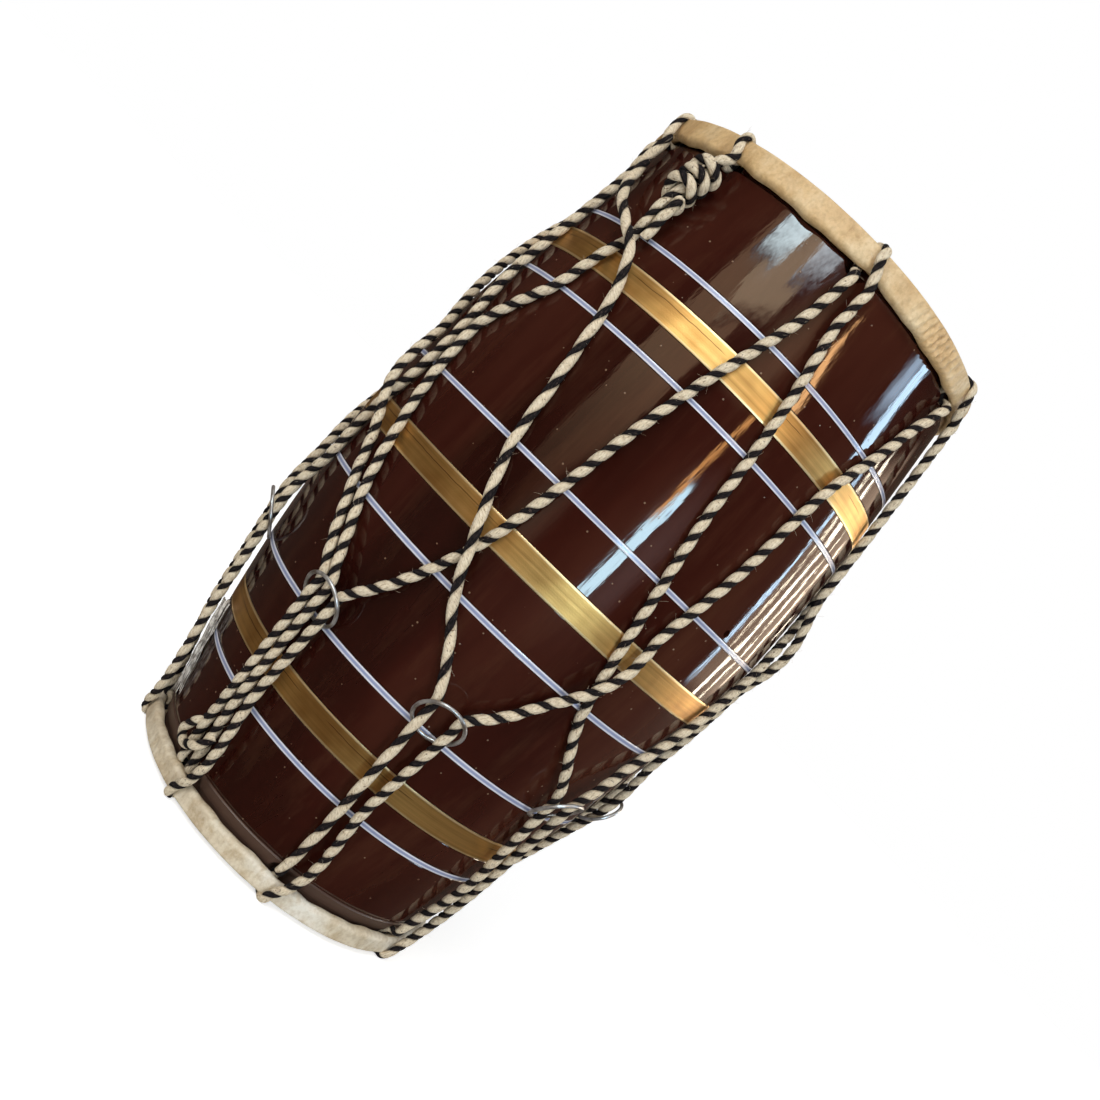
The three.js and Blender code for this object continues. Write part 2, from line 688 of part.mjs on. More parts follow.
// A closed tube along part of the route. Where a hoop presses the rope, its section is
// flattened along the normal and widened across.
const tube = (rows, radius, sides) => {
  const count = rows.length;
  const at = (k) => rows[THREE.MathUtils.clamp(k, 0, count - 1)].point;
  const positions = [];
  const index = [];
  const tangent = (k) => at(k + 1).clone().sub(at(k - 1)).normalize();
  let axis = tangent(0);
  let u = new THREE.Vector3(0, 0, 1).cross(axis);
  if (u.length() < 0.5) u = new THREE.Vector3(1, 0, 0).cross(axis);
  u.normalize();
  rows.forEach(({ point, thin, normal }, k) => {
    const next = tangent(k);
    u.applyQuaternion(new THREE.Quaternion().setFromUnitVectors(axis, next));
    u.addScaledVector(next, -u.dot(next)).normalize();
    axis = next;
    const v = axis.clone().cross(u);
    const corner = k > 0 && k < count - 1
      ? at(k).clone().sub(at(k - 1)).normalize().dot(at(k + 1).clone().sub(at(k)).normalize()) : 1;
    const mitre = 1 / Math.sqrt((1 + corner) / 2);
    const bend = at(k + 1).clone().add(at(k - 1)).addScaledVector(at(k), -2);
    bend.addScaledVector(axis, -bend.dot(axis));
    const bending = bend.length() > straightBend ? bend.normalize() : null;
    for (let s = 0; s < sides; s += 1) {
      const a = Math.PI * 2 * s / sides;
      const offset = u.clone().multiplyScalar(Math.cos(a) * radius);
      offset.addScaledVector(v, Math.sin(a) * radius);
      if (normal) {
        const n = normal.clone().addScaledVector(axis, -normal.dot(axis)).normalize();
        const w = axis.clone().cross(n);
        const along = offset.dot(n);
        const across = offset.dot(w);
        offset.copy(n).multiplyScalar(along * thin).addScaledVector(w, across / thin);
      }
      if (bending) offset.addScaledVector(bending, offset.dot(bending) * (mitre - 1));
      offset.add(point);
      positions.push(offset.x, offset.y, offset.z);
    }
    if (k > 0) {
      const here = k * sides;
      const before = here - sides;
      for (let s = 0; s < sides; s += 1) {
        const n = (s + 1) % sides;
        index.push(before + s, before + n, here + n, before + s, here + n, here + s);
      }
    }
  });
  const last = (count - 1) * sides;
  for (let s = 1; s < sides - 1; s += 1) {
    index.push(0, s + 1, s);
    index.push(last, last + s, last + s + 1);
  }
  const geometry = new THREE.BufferGeometry();
  geometry.setAttribute('position', new THREE.Float32BufferAttribute(positions, 3));
  geometry.setIndex(index);
  geometry.computeVertexNormals();
  return geometry;
};

// The least gap between two stretches of the rope that don't follow on each other
const segmentGap = (a, b, c, d) => {
  const u = b.clone().sub(a);
  const v = d.clone().sub(c);
  const w = a.clone().sub(c);
  const uu = u.dot(u);
  const uv = u.dot(v);
  const vv = v.dot(v);
  const uw = u.dot(w);
  const vw = v.dot(w);
  const det = uu * vv - uv * uv;
  let s = det > 0 ? THREE.MathUtils.clamp((uv * vw - vv * uw) / det, 0, 1) : 0;
  const t = THREE.MathUtils.clamp((uv * s + vw) / vv, 0, 1);
  s = THREE.MathUtils.clamp((uv * t - uw) / uu, 0, 1);
  return w.addScaledVector(u, s).addScaledVector(v, -t);
};
const reachOf = (row, across) => {
  if (!row.normal) return ropeRadius;
  const flat = Math.min(Math.abs(across.dot(row.normal)), 1);
  return ropeRadius * Math.hypot(flat * row.thin, Math.sqrt(1 - flat * flat) / row.thin);
};
const lengths = [0];
for (let k = 1; k < route.length; k += 1) {
  lengths.push(lengths[k - 1] + route[k].point.distanceTo(route[k - 1].point));
}
const ownStretch = ropeDiameter * 3;
let least = { gap: Infinity, near: null };
for (let i = 0; i < route.length - 1; i += 1) {
  for (let j = i + 2; j < route.length - 1; j += 1) {
    if (lengths[j] - lengths[i + 1] < ownStretch) continue;
    const way = segmentGap(route[i].point, route[i + 1].point, route[j].point, route[j + 1].point);
    const distance = way.length();
    way.normalize();
    const gap = distance - Math.max(reachOf(route[i], way), reachOf(route[i + 1], way))
      - Math.max(reachOf(route[j], way), reachOf(route[j + 1], way));
    if (gap < least.gap) least = { gap, near: route[i].point };
  }
}
console.log(`lacing rope: ${(lengths[lengths.length - 1] / 1000).toFixed(2)} m long, `
  + `least gap to itself ${least.gap.toFixed(2)} mm near height ${least.near.z.toFixed(0)} mm`);

// The rope, cut flat where the treble loops stand on the ground
const groundDepth = ropeDiameter * 2;
const ground = new THREE.BoxGeometry(bellyRadius * 2, bellyRadius * 2, groundDepth);
ground.translate(0, 0, -standHeight - groundDepth / 2);
const rope = toSolid(tube(route, ropeRadius, ropeSides)).subtract(toSolid(ground));
add('lacing_rope', toGeometry(rope), cotton);

// The skins, with a slot through the membrane and a dent in the rim wherever the rope passes
const slotReach = ropeRadius + cutGap;
const slot = (head, atBass, holes) => {
  const rows = rimShares.map((row, index) => ({
    point: rimPoint(head, atBass, row, holes),
    thin: ropeSqueezeShare,
    normal: rimNormal(head, atBass, index, rimAngle(row[0], holes)),
  }));
  return toSolid(tube(rows, slotReach / Math.cos(Math.PI / ropeSides), ropeSides));
};
const pierce = (solid, head, atBass, all) => (
  all.reduce((body, holes) => body.subtract(slot(head, atBass, holes)), solid)
);
add('treble_skin', toGeometry(pierce(
  toSolid(revolve(skinOutline(treble))), treble, false, Object.values(trebleHoles),
)), paleParchment);
add('bass_skin', toGeometry(pierce(
  toSolid(revolve(flip(skinOutline(bass)).reverse())), bass, true, Object.values(bassHoles),
)), parchment);

// The tuning rings: each leans on its pair of ropes, its bass side over them and its treble
// side between them and the barrel
Object.keys(pairAngles).forEach((point) => {
  const top = pairEnd(point, true);
  const bottom = pairEnd(point, false);
  const up = top.clone().sub(bottom).normalize();
  const side = sideways(point);
  side.addScaledVector(up, -side.dot(up)).normalize();
  const out = side.clone().cross(up).multiplyScalar(-1);
  if (out.dot(polar(1, pairAngles[point][0], 0)) < 0) out.multiplyScalar(-1);
  const tilt = THREE.MathUtils.degToRad(ringTilt);
  const lean = up.clone().multiplyScalar(Math.cos(tilt)).addScaledVector(out, Math.sin(tilt));
  const ring = add(`tuning_ring_${point.slice(1)}`,
    new THREE.TorusGeometry(ringRadius, ringWire / 2, ringSides, ringSteps), steel);
  const share = (ringHeight - pairBottom) / (pairTop - pairBottom);
  ring.position.copy(bottom).lerp(top, share);
  ring.setRotationFromMatrix(new THREE.Matrix4().makeBasis(side, lean, side.clone().cross(lean)));
});

const whole = new THREE.Group();
whole.add(drum);
export default whole;
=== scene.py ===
"""A dholak, a two-headed barrel drum, dressed over its CAD frame.

Sizes are in millimetres, angles in degrees, and z is the distance from the treble rim along the
drum's axis. An angle of zero faces -Y and angles grow towards +X. Meshes are made in metres.
"""
import itertools
from types import SimpleNamespace

import bpy
import numpy as np
from mathutils import Matrix, Quaternion, Vector


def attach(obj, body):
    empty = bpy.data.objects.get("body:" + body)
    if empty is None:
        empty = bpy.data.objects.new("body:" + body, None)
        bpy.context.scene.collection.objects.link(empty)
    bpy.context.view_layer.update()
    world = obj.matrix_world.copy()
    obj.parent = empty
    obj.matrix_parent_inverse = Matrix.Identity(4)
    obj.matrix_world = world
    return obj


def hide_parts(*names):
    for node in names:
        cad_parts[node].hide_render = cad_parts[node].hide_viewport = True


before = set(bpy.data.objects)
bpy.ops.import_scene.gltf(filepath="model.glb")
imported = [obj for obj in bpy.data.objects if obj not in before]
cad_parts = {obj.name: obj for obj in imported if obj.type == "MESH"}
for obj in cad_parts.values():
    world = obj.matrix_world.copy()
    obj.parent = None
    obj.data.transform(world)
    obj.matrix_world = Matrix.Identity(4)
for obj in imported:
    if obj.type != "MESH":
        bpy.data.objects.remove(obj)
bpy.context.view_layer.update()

# The camera of the photograph. It looks level at the drum's side from 0.68 m away and is rolled,
# so that the drum's axis runs up to the right across a square picture.
sensor_width = 36.0
picture_pixels, focal_pixels = 1100.0, 1118.0
camera_place = (0.0, -0.68459, 0.26807)
camera_data = bpy.data.cameras.new("camera")
camera_data.sensor_width = sensor_width
camera_data.lens = sensor_width * focal_pixels / picture_pixels
camera_data.clip_start = 0.01
camera_data.clip_end = 60.0
camera = bpy.data.objects.new("camera", camera_data)
bpy.context.scene.collection.objects.link(camera)
camera_right = Vector((0.7143, 0.03172, 0.69912)).normalized()
camera_forward = Vector((0.00332, 0.99881, -0.0487)).normalized()
camera_up = camera_right.cross(camera_forward)
axes = Matrix((camera_right, camera_up, -camera_forward)).transposed()
camera.matrix_world = Matrix.Translation(camera_place) @ axes.to_4x4()
bpy.context.scene.camera = camera
bpy.context.scene.view_settings.view_transform = "Standard"

# The barrel: one hollow piece of turned wood under dark maroon lacquer. Both ends are turned
# down to a neck inside the hoops, with a rounded edge for the skin and a notch for each rope, and
# a fine line is scribed round it near the treble end.
stand_height = 2.9
drum_length = 460.0
belly_height = 265.88
belly_radius = 138.7
treble_end_radius = 100.7
bass_end_radius = 115.1
wall = 15.0
lower_swell = np.array([[0, 0], [0.094, 0.126], [0.244, 0.35], [0.477, 0.684], [0.714, 0.924],
                        [0.857, 0.992], [1, 1]])
upper_swell = np.array([[0, 0], [0.103, 0.119], [0.381, 0.479], [0.629, 0.767], [1, 1]])
barrel_columns = 288
sharp_angle = 40.0


def smooth(table, x):
    """Cubic Hermite pieces through a table of places and values, with central slopes."""
    place, value = np.asarray(table, float).T
    x = np.asarray(x, float)
    i = np.clip(np.searchsorted(place, x) - 1, 0, len(place) - 2)
    before = np.maximum(np.arange(len(place)) - 1, 0)
    after = np.minimum(np.arange(len(place)) + 1, len(place) - 1)
    slope = (value[after] - value[before]) / (place[after] - place[before])
    span = place[i + 1] - place[i]
    t = np.clip((x - place[i]) / span, 0, 1)
    return ((2 * t**3 - 3 * t**2 + 1) * value[i] + (t**3 - 2 * t**2 + t) * span * slope[i]
            + (3 * t**2 - 2 * t**3) * value[i + 1] + (t**3 - t**2) * span * slope[i + 1])


def barrel_radius(z):
    """Outer radius of the barrel: it swells from each end to the belly along its own table."""
    z = np.asarray(z, float)
    below = smooth(lower_swell, z / belly_height)
    above = smooth(upper_swell, (drum_length - z) / (drum_length - belly_height))
    low = treble_end_radius + below * (belly_radius - treble_end_radius)
    high = bass_end_radius + above * (belly_radius - bass_end_radius)
    return np.where(z <= belly_height, low, high)


def polar(radius, angle, z):
    """Points at radii, angles in degrees and heights, stacked on the last axis."""
    a = np.radians(angle)
    return np.stack(np.broadcast_arrays(radius * np.sin(a), -radius * np.cos(a), z), axis=-1)


def short_way(angle, other):
    """The turn from one angle to another by the shorter way round, from -180 to 180."""
    return (angle - other + 180) % 360 - 180


def make_piece(name, points, faces, corner_uv, body, sharp=sharp_angle):
    """Points in millimetres above the treble rim, faces and their corners' UVs, as an object."""
    mesh = bpy.data.meshes.new(name)
    placed = (np.asarray(points).reshape(-1, 3) + (0, 0, stand_height)) / 1000.0
    mesh.from_pydata(placed.tolist(), [], faces)
    mesh.uv_layers.new(name="UVMap").uv.foreach_set("vector", np.asarray(corner_uv, float).ravel())
    mesh.polygons.foreach_set("use_smooth", np.ones(len(mesh.polygons), dtype=bool))
    mesh.set_sharp_from_angle(angle=np.radians(sharp))
    mesh.update()
    piece = bpy.data.objects.new(name, mesh)
    bpy.context.scene.collection.objects.link(piece)
    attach(piece, body)
    return piece


def grid_faces(rows, columns, close_rows):
    """Quads of a grid whose columns run all the way round, and each corner's row and column."""
    first_rows = np.arange(rows if close_rows else rows - 1)
    r, c = np.meshgrid(first_rows, np.arange(columns), indexing="ij")
    row = np.stack([r, r, r + 1, r + 1], axis=-1).reshape(-1, 4)
    column = np.stack([c, c + 1, c + 1, c], axis=-1).reshape(-1, 4)
    return (row % rows) * columns + column % columns, row, column


def end_caps(rows, sides):
    """The two end faces of a tube whose points are rows of so many sides, turned outwards."""
    near = np.arange(sides)
    return np.stack([near[::-1], (rows - 1) * sides + near])


def turned(name, outline, columns, body, shift=None, sharp=sharp_angle):
    """A closed outline of [radius, z] rows carried round the axis.

    An outline that starts on the axis is closed by fans at its two ends. shift(angle, radius, z)
    may return radii and heights moved by wrinkles. UV is the turn and the share along the
    outline."""
    outline = np.asarray(outline, float)
    solid = outline[0, 0] == 0
    ring = outline[1:-1] if solid else outline
    step = np.hypot(*np.diff(ring, axis=0).T)
    along = np.concatenate([[0], np.cumsum(step)]) / step.sum()
    angle = np.arange(columns) * 360.0 / columns
    radius = np.repeat(ring[:, :1], columns, axis=1)
    z = np.repeat(ring[:, 1:], columns, axis=1)
    if shift:
        radius, z = shift(angle[None, :], radius, z)
    points = polar(radius, angle[None, :], z).reshape(-1, 3)
    quads, row, column = grid_faces(len(ring), columns, not solid)
    ends = np.concatenate([along, [1.0 + 1.0 / len(ring)]])
    uv = np.stack([column / columns, ends[row]], axis=-1).reshape(-1, 2)
    faces = quads.tolist()
    if solid:
        first, last = len(points), len(points) + 1
        points = np.vstack([points, [0, 0, outline[0, 1]], [0, 0, outline[-1, 1]]])
        c = np.arange(columns)
        d = (c + 1) % columns
        top = (len(ring) - 1) * columns
        fans = np.concatenate([np.stack([np.full(columns, first), d, c], axis=1),
                               np.stack([np.full(columns, last), top + c, top + d], axis=1)])
        faces += fans.tolist()
        fan_uv = np.repeat(np.stack([c / columns, np.zeros(columns)], axis=1), 3, axis=0)
        uv = np.vstack([uv, fan_uv, fan_uv + (0, 1)])
    return make_piece(name, points, faces, uv, body, sharp)


rope_diameter = 6.0
squeeze = 0.75
thin_rope = rope_diameter * squeeze
seat_gap, rope_gap = 0.3, 0.3
facet_sag = 0.466


def head_sizes(hoop_radius, band_height, skin, hoop_thickness):
    """Radii and depths of one lapped hoop and of the channel that the rope runs in under it."""
    wrapped = hoop_thickness + 2 * skin + 2 * seat_gap
    channel = thin_rope + 2 * rope_gap + facet_sag
    neck = hoop_radius - wrapped - channel
    return SimpleNamespace(
        hoop_radius=hoop_radius, band_height=band_height, skin=skin, lap_radius=wrapped / 2,
        channel=channel, inner=hoop_radius - wrapped, middle=hoop_radius - wrapped / 2,
        lap_depth=band_height - wrapped / 2, neck=neck,
        channel_middle=neck + rope_gap + thin_rope / 2,
        outside=hoop_radius + rope_gap + thin_rope / 2, edge=skin + seat_gap)


treble = head_sizes(hoop_radius=109.0, band_height=12.0, skin=0.9, hoop_thickness=3.6)
bass = head_sizes(hoop_radius=122.5, band_height=14.5, skin=1.2, hoop_thickness=4.0)
cove_rows = 12
hem_gap = 1.6


def cove(head, surface_at, gap):
    """The hollow turned round a lapped hoop's inner edge, a gap from it, as [radius, depth] rows.

    It is an arc round the lap's centre and ends on the barrel's surface. The depth where it ends
    is found by putting each guess back into the circle's formula."""
    radius = head.lap_radius + gap
    depth = head.lap_depth + radius
    for _ in range(8):
        depth = head.lap_depth + np.sqrt(radius**2 - (head.middle - surface_at(depth))**2)
    end = np.arctan2(depth - head.lap_depth, surface_at(depth) - head.middle)
    a = np.pi + np.linspace(0, 1, cove_rows) * (end - np.pi)
    return np.stack([head.middle + radius * np.cos(a), head.lap_depth + radius * np.sin(a)], axis=1)


edge_rows = 8
edge_round, edge_flat, edge_width, edge_slope = 1.6, 4.5, 9.0, 3.5


def bearing_edge(head):
    """The rounded edge that a skin lies on, as [radius, depth] rows from the bore to the neck."""
    a = np.linspace(0, np.pi / 2, edge_rows - 2)
    crown = np.stack([head.neck - edge_round * (1 - np.sin(a)),
                      head.edge + edge_round * (1 - np.cos(a))], axis=1)
    return np.vstack([[head.neck - edge_width, head.edge + edge_slope],
                      [head.neck - edge_flat, head.edge], crown])


def from_bass_rim(depth):
    """Outer radius of the barrel by the depth below its bass rim."""
    return barrel_radius(drum_length - depth)


treble_cove = cove(treble, barrel_radius, treble.channel)
bass_cove = cove(bass, from_bass_rim, bass.channel)
treble_shift = cove(treble, barrel_radius, hem_gap) - treble_cove
bass_shift = (cove(bass, from_bass_rim, hem_gap) - bass_cove)[::-1]
gold_bands = {"gold_band_treble": 84.0, "gold_band_belly": 218.59, "gold_band_bass": 356.18}
white_strips = {"white_strip_1": 64.4, "white_strip_2": 125.8, "white_strip_3": 188.8,
                "white_strip_4": 263.0, "white_strip_5": 337.3, "white_strip_6": 384.8}
gold_width = 15.4
white_widths = dict(zip(white_strips, (3.5, 3.5, 3.4, 3.0, 2.9, 2.8)))
groove_sides = ((0.45, 0), (0.2, 0.25), (0.199, 1.1))
groove_clear = 0.8
scribe_distance, scribe_half, scribe_depth, scribe_clear = 19.5, 1.1, 0.7, 2.4
surface_step = 2.0


def grooved_surface():
    """The barrel's face between its coves, as [radius, z] rows in the order of their height: the
    plain swell, both sides of the groove of each band and strip, by their distance outside its
    edge and their depth, and the scribed line, a half wave of a cosine."""
    z = np.arange(treble_cove[-1, 1] + 1, drum_length - bass_cove[-1, 1], surface_step)
    z = z[np.abs(z - scribe_distance) > scribe_clear]
    grooves = []
    for name, low in {**gold_bands, **white_strips}.items():
        high = low + white_widths.get(name, gold_width)
        z = z[(z <= low - groove_clear) | (z >= high + groove_clear)]
        grooves += [(low - beyond, deep) for beyond, deep in groove_sides]
        grooves += [(high + beyond, deep) for beyond, deep in groove_sides]
    groove_z, deep = np.array(grooves).T
    line = np.linspace(-scribe_half, scribe_half, 9)
    line_z = scribe_distance + line
    line_depth = scribe_depth * np.cos(line / scribe_half * np.pi / 2)
    rows = np.vstack([np.stack([barrel_radius(z), z], axis=1),
                      np.stack([barrel_radius(groove_z) - deep, groove_z], axis=1),
                      np.stack([barrel_radius(line_z) - line_depth, line_z], axis=1)])
    return rows[np.argsort(rows[:, 1], kind="stable")]


surface = grooved_surface()
flipped = np.array([1.0, -1.0])
from_bass = np.array([0.0, drum_length])
bore_end = 12
bore_z = np.linspace(drum_length - bore_end, bore_end, 30)
bore = np.stack([barrel_radius(bore_z) - wall, bore_z], axis=1)
shell_outline = np.vstack([
    bearing_edge(treble), treble_cove, surface, (bass_cove * flipped + from_bass)[::-1],
    (bearing_edge(bass) * flipped + from_bass)[::-1], bore])

# A hole is where the rope passes a hoop: the angles where it goes in under it and where it
# comes back over it. The treble hole b2 also holds the rope's last end and has a wide notch.
treble_holes = {"b2": (-30.6, -26.6), "b4": (60.3, 64.4), "b6": (163, 167.1), "b1": (288, 292.1),
                "b3": (370.1, 374.2), "b5": (461.4, 465.5), "b7": (587, 591.1)}
bass_holes = {"t2": (-38.4, -34.5), "t3": (6.6, 10.3), "t5": (110.2, 113.9), "t7": (200.2, 203.9),
              "t1": (293.6, 297.3), "t4": (417, 421.5), "t6": (518.2, 521.9), "t0": (602.2, 605.9)}
wide_notch = (-28.6, -32.6, -35.7)
treble_notches = (*wide_notch, *[angle for hole, pair in treble_holes.items() if hole != "b2"
                                 for angle in pair])
bass_notches = [enters for enters, leaves in bass_holes.values()]
notch_radius, notch_half_width, notch_side = 110, 4.2, 3.0


def notched(angle, radius, z):
    """Fills the coves out to the hems, but for a notch where each rope dives under a hoop."""
    for first, shift, notches, sign in (
            (edge_rows, treble_shift, treble_notches, 1),
            (edge_rows + cove_rows + len(surface), bass_shift, bass_notches, -1)):
        away = np.radians(np.min([np.abs(short_way(angle, notch)) for notch in notches], axis=0))
        filled = np.clip((away * notch_radius - notch_half_width) / notch_side, 0, 1)
        radius[first:first + cove_rows] += filled * shift[:, :1]
        z[first:first + cove_rows] += filled * shift[:, 1:] * sign
    return radius, z


vent_radius, vent_height, vent_angle = 2.3, 270.0, 45.8
drill_sides, drill_overrun = 24, 10


def bore_vent(barrel):
    """Bores the vent hole through the barrel's wall: a round drill along a radius is taken out."""
    a = np.arange(drill_sides) * 2 * np.pi / drill_sides
    across, upward = polar(1.0, vent_angle + 90, 0), np.array([0, 0, 1.0])
    rim = vent_radius * (np.cos(a)[:, None] * across + np.sin(a)[:, None] * upward)
    rows = [polar(radius, vent_angle, vent_height) + rim
            for radius in (belly_radius - 2 * wall, belly_radius + drill_overrun)]
    faces = grid_faces(2, drill_sides, False)[0].tolist() + end_caps(2, drill_sides).tolist()
    drill = make_piece("drill", rows, faces, np.zeros((6 * drill_sides, 2)), "drum")
    cut = barrel.modifiers.new("vent", "BOOLEAN")
    cut.object, cut.operation, cut.solver = drill, "DIFFERENCE", "EXACT"
    view = bpy.context.evaluated_depsgraph_get()
    bored = bpy.data.meshes.new_from_object(barrel.evaluated_get(view))
    barrel.modifiers.clear()
    barrel.data = bored
    bored.set_sharp_from_angle(angle=np.radians(sharp_angle))
    bpy.data.objects.remove(drill)


shell = turned("barrel", shell_outline, barrel_columns, "drum", notched)
bore_vent(shell)
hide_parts("shell")


def colour(red, green, blue):
    """A colour written as the eye sees it, 0 to 255, as the linear colour that a shader takes."""
    c = np.array([red, green, blue]) / 255.0
    return (*np.where(c <= 0.04045, c / 12.92, ((c + 0.055) / 1.055) ** 2.4).tolist(), 1.0)


def finish(name, **inputs):
    """A new material with its shader's own sockets set."""
    material = bpy.data.materials.new(name)
    material.use_nodes = True
    shader = material.node_tree.nodes["Principled BSDF"]
    for key, value in inputs.items():
        socket = key.replace("_", " ").title().replace("Ior", "IOR")
        shader.inputs[socket].default_value = value
    return material, material.node_tree, shader


def join(tree, node, inputs):
    """Gives a node's inputs their values, or links them to other nodes' outputs."""
    for key, value in inputs.items():
        if isinstance(value, bpy.types.NodeSocket):
            tree.links.new(value, node.inputs[key])
        else:
            node.inputs[key].default_value = value


def wire(tree, kind, inputs, **settings):
    """Adds a node with its settings and its inputs."""
    node = tree.nodes.new(kind)
    for key, value in settings.items():
        setattr(node, key, value)
    join(tree, node, inputs)
    return node


def object_place(tree):
    """The place on the drum, in metres."""
    return wire(tree, "ShaderNodeTexCoord", {}).outputs["Object"]


def uv_parts(tree):
    """The piece's own UV, as X and Y."""
    uv = wire(tree, "ShaderNodeUVMap", {}).outputs[0]
    return wire(tree, "ShaderNodeSeparateXYZ", {"Vector": uv}).outputs


def calculated(tree, operation, *values):
    """One sum of a Math node."""
    return wire(tree, "ShaderNodeMath", dict(enumerate(values)), operation=operation).outputs[0]


def ramp(tree, factor, stops):
    """A colour ramp through [place, colour] stops."""
    node = wire(tree, "ShaderNodeValToRGB", {"Fac": factor})
    for place, value in stops[:-2]:
        node.color_ramp.elements.new(place).color = value
    elements = sorted(node.color_ramp.elements, key=lambda element: element.position)
    for element, (place, value) in zip(elements, stops):
        element.position, element.color = place, value
    return node.outputs["Color"]


def mask(tree, factor, stops):
    """A ramp of greys through [place, brightness] stops."""
    return ramp(tree, factor, [(place, (grey, grey, grey, 1)) for place, grey in stops])


def mixed(tree, factor, one, other, mode="MIX"):
    """One colour over another by a factor."""
    node = wire(tree, "ShaderNodeMix", {}, data_type="RGBA", blend_type=mode)
    join(tree, node, {0: factor, 6: one, 7: other})
    return node.outputs[2]


def noise(tree, place, scale, detail=2.0, rough=0.5, stretch=(1, 1, 1)):
    """Fractal noise over a place that is stretched first."""
    mapped = wire(tree, "ShaderNodeMapping", {"Vector": place, "Scale": stretch}).outputs[0]
    return wire(tree, "ShaderNodeTexNoise", {"Vector": mapped, "Scale": scale, "Detail": detail,
                                             "Roughness": rough}).outputs[0]


def bump(tree, height, strength, distance, over=None):
    """The normal of a surface raised by a pattern, over another such normal if there is one."""
    inputs = {"Height": height, "Strength": strength, "Distance": distance}
    if over is not None:
        inputs["Normal"] = over
    return wire(tree, "ShaderNodeBump", inputs).outputs[0]


lacquer, tree, shader = finish("maroon_lacquer", specular_tint=(1.0, 0.86, 0.74, 1.0),
                               specular_ior_level=0.4)
place = object_place(tree)
height = wire(tree, "ShaderNodeSeparateXYZ", {"Vector": place}).outputs["Z"]
cloudy = noise(tree, place, 13.0, 4.0, 0.55, (1, 1, 0.16))
wood = ramp(tree, cloudy, [(0.34, colour(36, 12, 8)), (0.5, colour(50, 18, 12)),
                           (0.7, colour(68, 34, 24))])
streaks = noise(tree, place, 60.0, 5.0, 0.7, (1, 1, 0.08))
streaked = mixed(tree, mask(tree, streaks, [(0.5, 0), (0.8, 0.2)]), wood, colour(104, 70, 48))
dull_scale = 0.06
dull_end = mask(tree, calculated(tree, "MULTIPLY", height, 1 / dull_scale),
                [(0.0, 1), (0.365, 1), (0.38, 0), (1.0, 0)])
ended = mixed(tree, dull_end, streaked, colour(80, 59, 49))
specks = wire(tree, "ShaderNodeTexVoronoi", {"Vector": place, "Scale": 125.0}).outputs["Distance"]
dust = mask(tree, specks, [(0.0, 1), (0.055, 1), (0.075, 0), (1.0, 0)])
swirl = bump(tree, noise(tree, place, 26.0, 3.0, 0.55, (1, 1, 0.5)), 0.22, 0.0011)
brushed = bump(tree, noise(tree, place, 230.0, 3.0, 0.6, (1, 1, 0.12)), 0.4, 0.00016, swirl)
gloss = mask(tree, streaks, [(0.35, 0.03), (0.8, 0.09)])
join(tree, shader, {"Base Color": mixed(tree, dust, ended, colour(124, 98, 78)),
                    "Normal": bump(tree, dust, 0.35, 0.0003, brushed),
                    "Roughness": mixed(tree, dull_end, gloss, (0.42, 0.42, 0.42, 1))})
shell.data.materials.append(lacquer)

# The gilt bands: thin strips of gold-coloured foil on wood, let into grooves round the barrel,
# with fine lines drawn along them by the lathe, a painted highlight along both edges, and a
# split here and there.
strip_proud, strip_arris, strip_thickness = 0.05, 0.12, 0.8


def strip_outline(low, width, rows):
    """A strip as thick as its groove, its face following the barrel with rounded arrises."""
    z = low + width * (1 - np.cos(np.linspace(0, np.pi, rows))) / 2
    face = barrel_radius(z) + strip_proud
    face[[0, -1]] -= strip_arris
    back = barrel_radius([low, low + width]) - strip_thickness
    return np.vstack([[back[0], low], np.stack([face, z], axis=1), [back[1], low + width]])


gilt, tree, shader = finish("gilt_foil", metallic=0.88, roughness=0.44)
place = object_place(tree)
across = uv_parts(tree)["Y"]
lines = noise(tree, place, 24.0, 4.0, 0.6, (0.4, 0.4, 22))
foil = ramp(tree, lines, [(0.3, colour(186, 138, 76)), (0.45, colour(206, 157, 88)),
                          (0.62, colour(218, 167, 96)), (0.8, colour(230, 181, 112))])
patches = ramp(tree, noise(tree, place, 22.0, 3.0, 0.6), [(0.34, (0.66, 0.58, 0.5, 1)),
                                                          (0.56, (1, 1, 1, 1))])
worn = mixed(tree, 1.0, foil, patches, "MULTIPLY")
# Painted highlight: a pale gold painted along both edges stands in for the glint off their rounded
# arrises.
arris_highlight = mask(tree, across, [(0.0, 1), (0.09, 0.9), (0.13, 0), (0.87, 0), (0.91, 0.9), (1.0, 1)])
wavy = calculated(tree, "MULTIPLY_ADD", noise(tree, place, 30.0, 3.0, 0.6), 0.16, across)
split_line = mask(tree, wavy, [(0.0, 0), (0.745, 0), (0.755, 1), (0.765, 1), (0.78, 0), (1.0, 0)])
split_here = mask(tree, noise(tree, place, 16.0, 2.0, 0.5), [(0.5, 0), (0.56, 0.85)])
split = mixed(tree, 1.0, split_line, split_here, "MULTIPLY")
highlighted_edges = mixed(tree, arris_highlight, worn, colour(246, 214, 158))
grains = noise(tree, place, 1100.0, 2.0, 0.5)
join(tree, shader, {"Base Color": mixed(tree, split, highlighted_edges, colour(70, 40, 20)),
                    "Normal": bump(tree, grains, 0.25, 0.0002, bump(tree, lines, 0.2, 0.0004))})
for name, low in gold_bands.items():
    band = turned(name.replace("gold", "gilt"), strip_outline(low, gold_width, 12), barrel_columns,
                  "drum")
    band.data.materials.append(gilt)
    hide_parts(name)
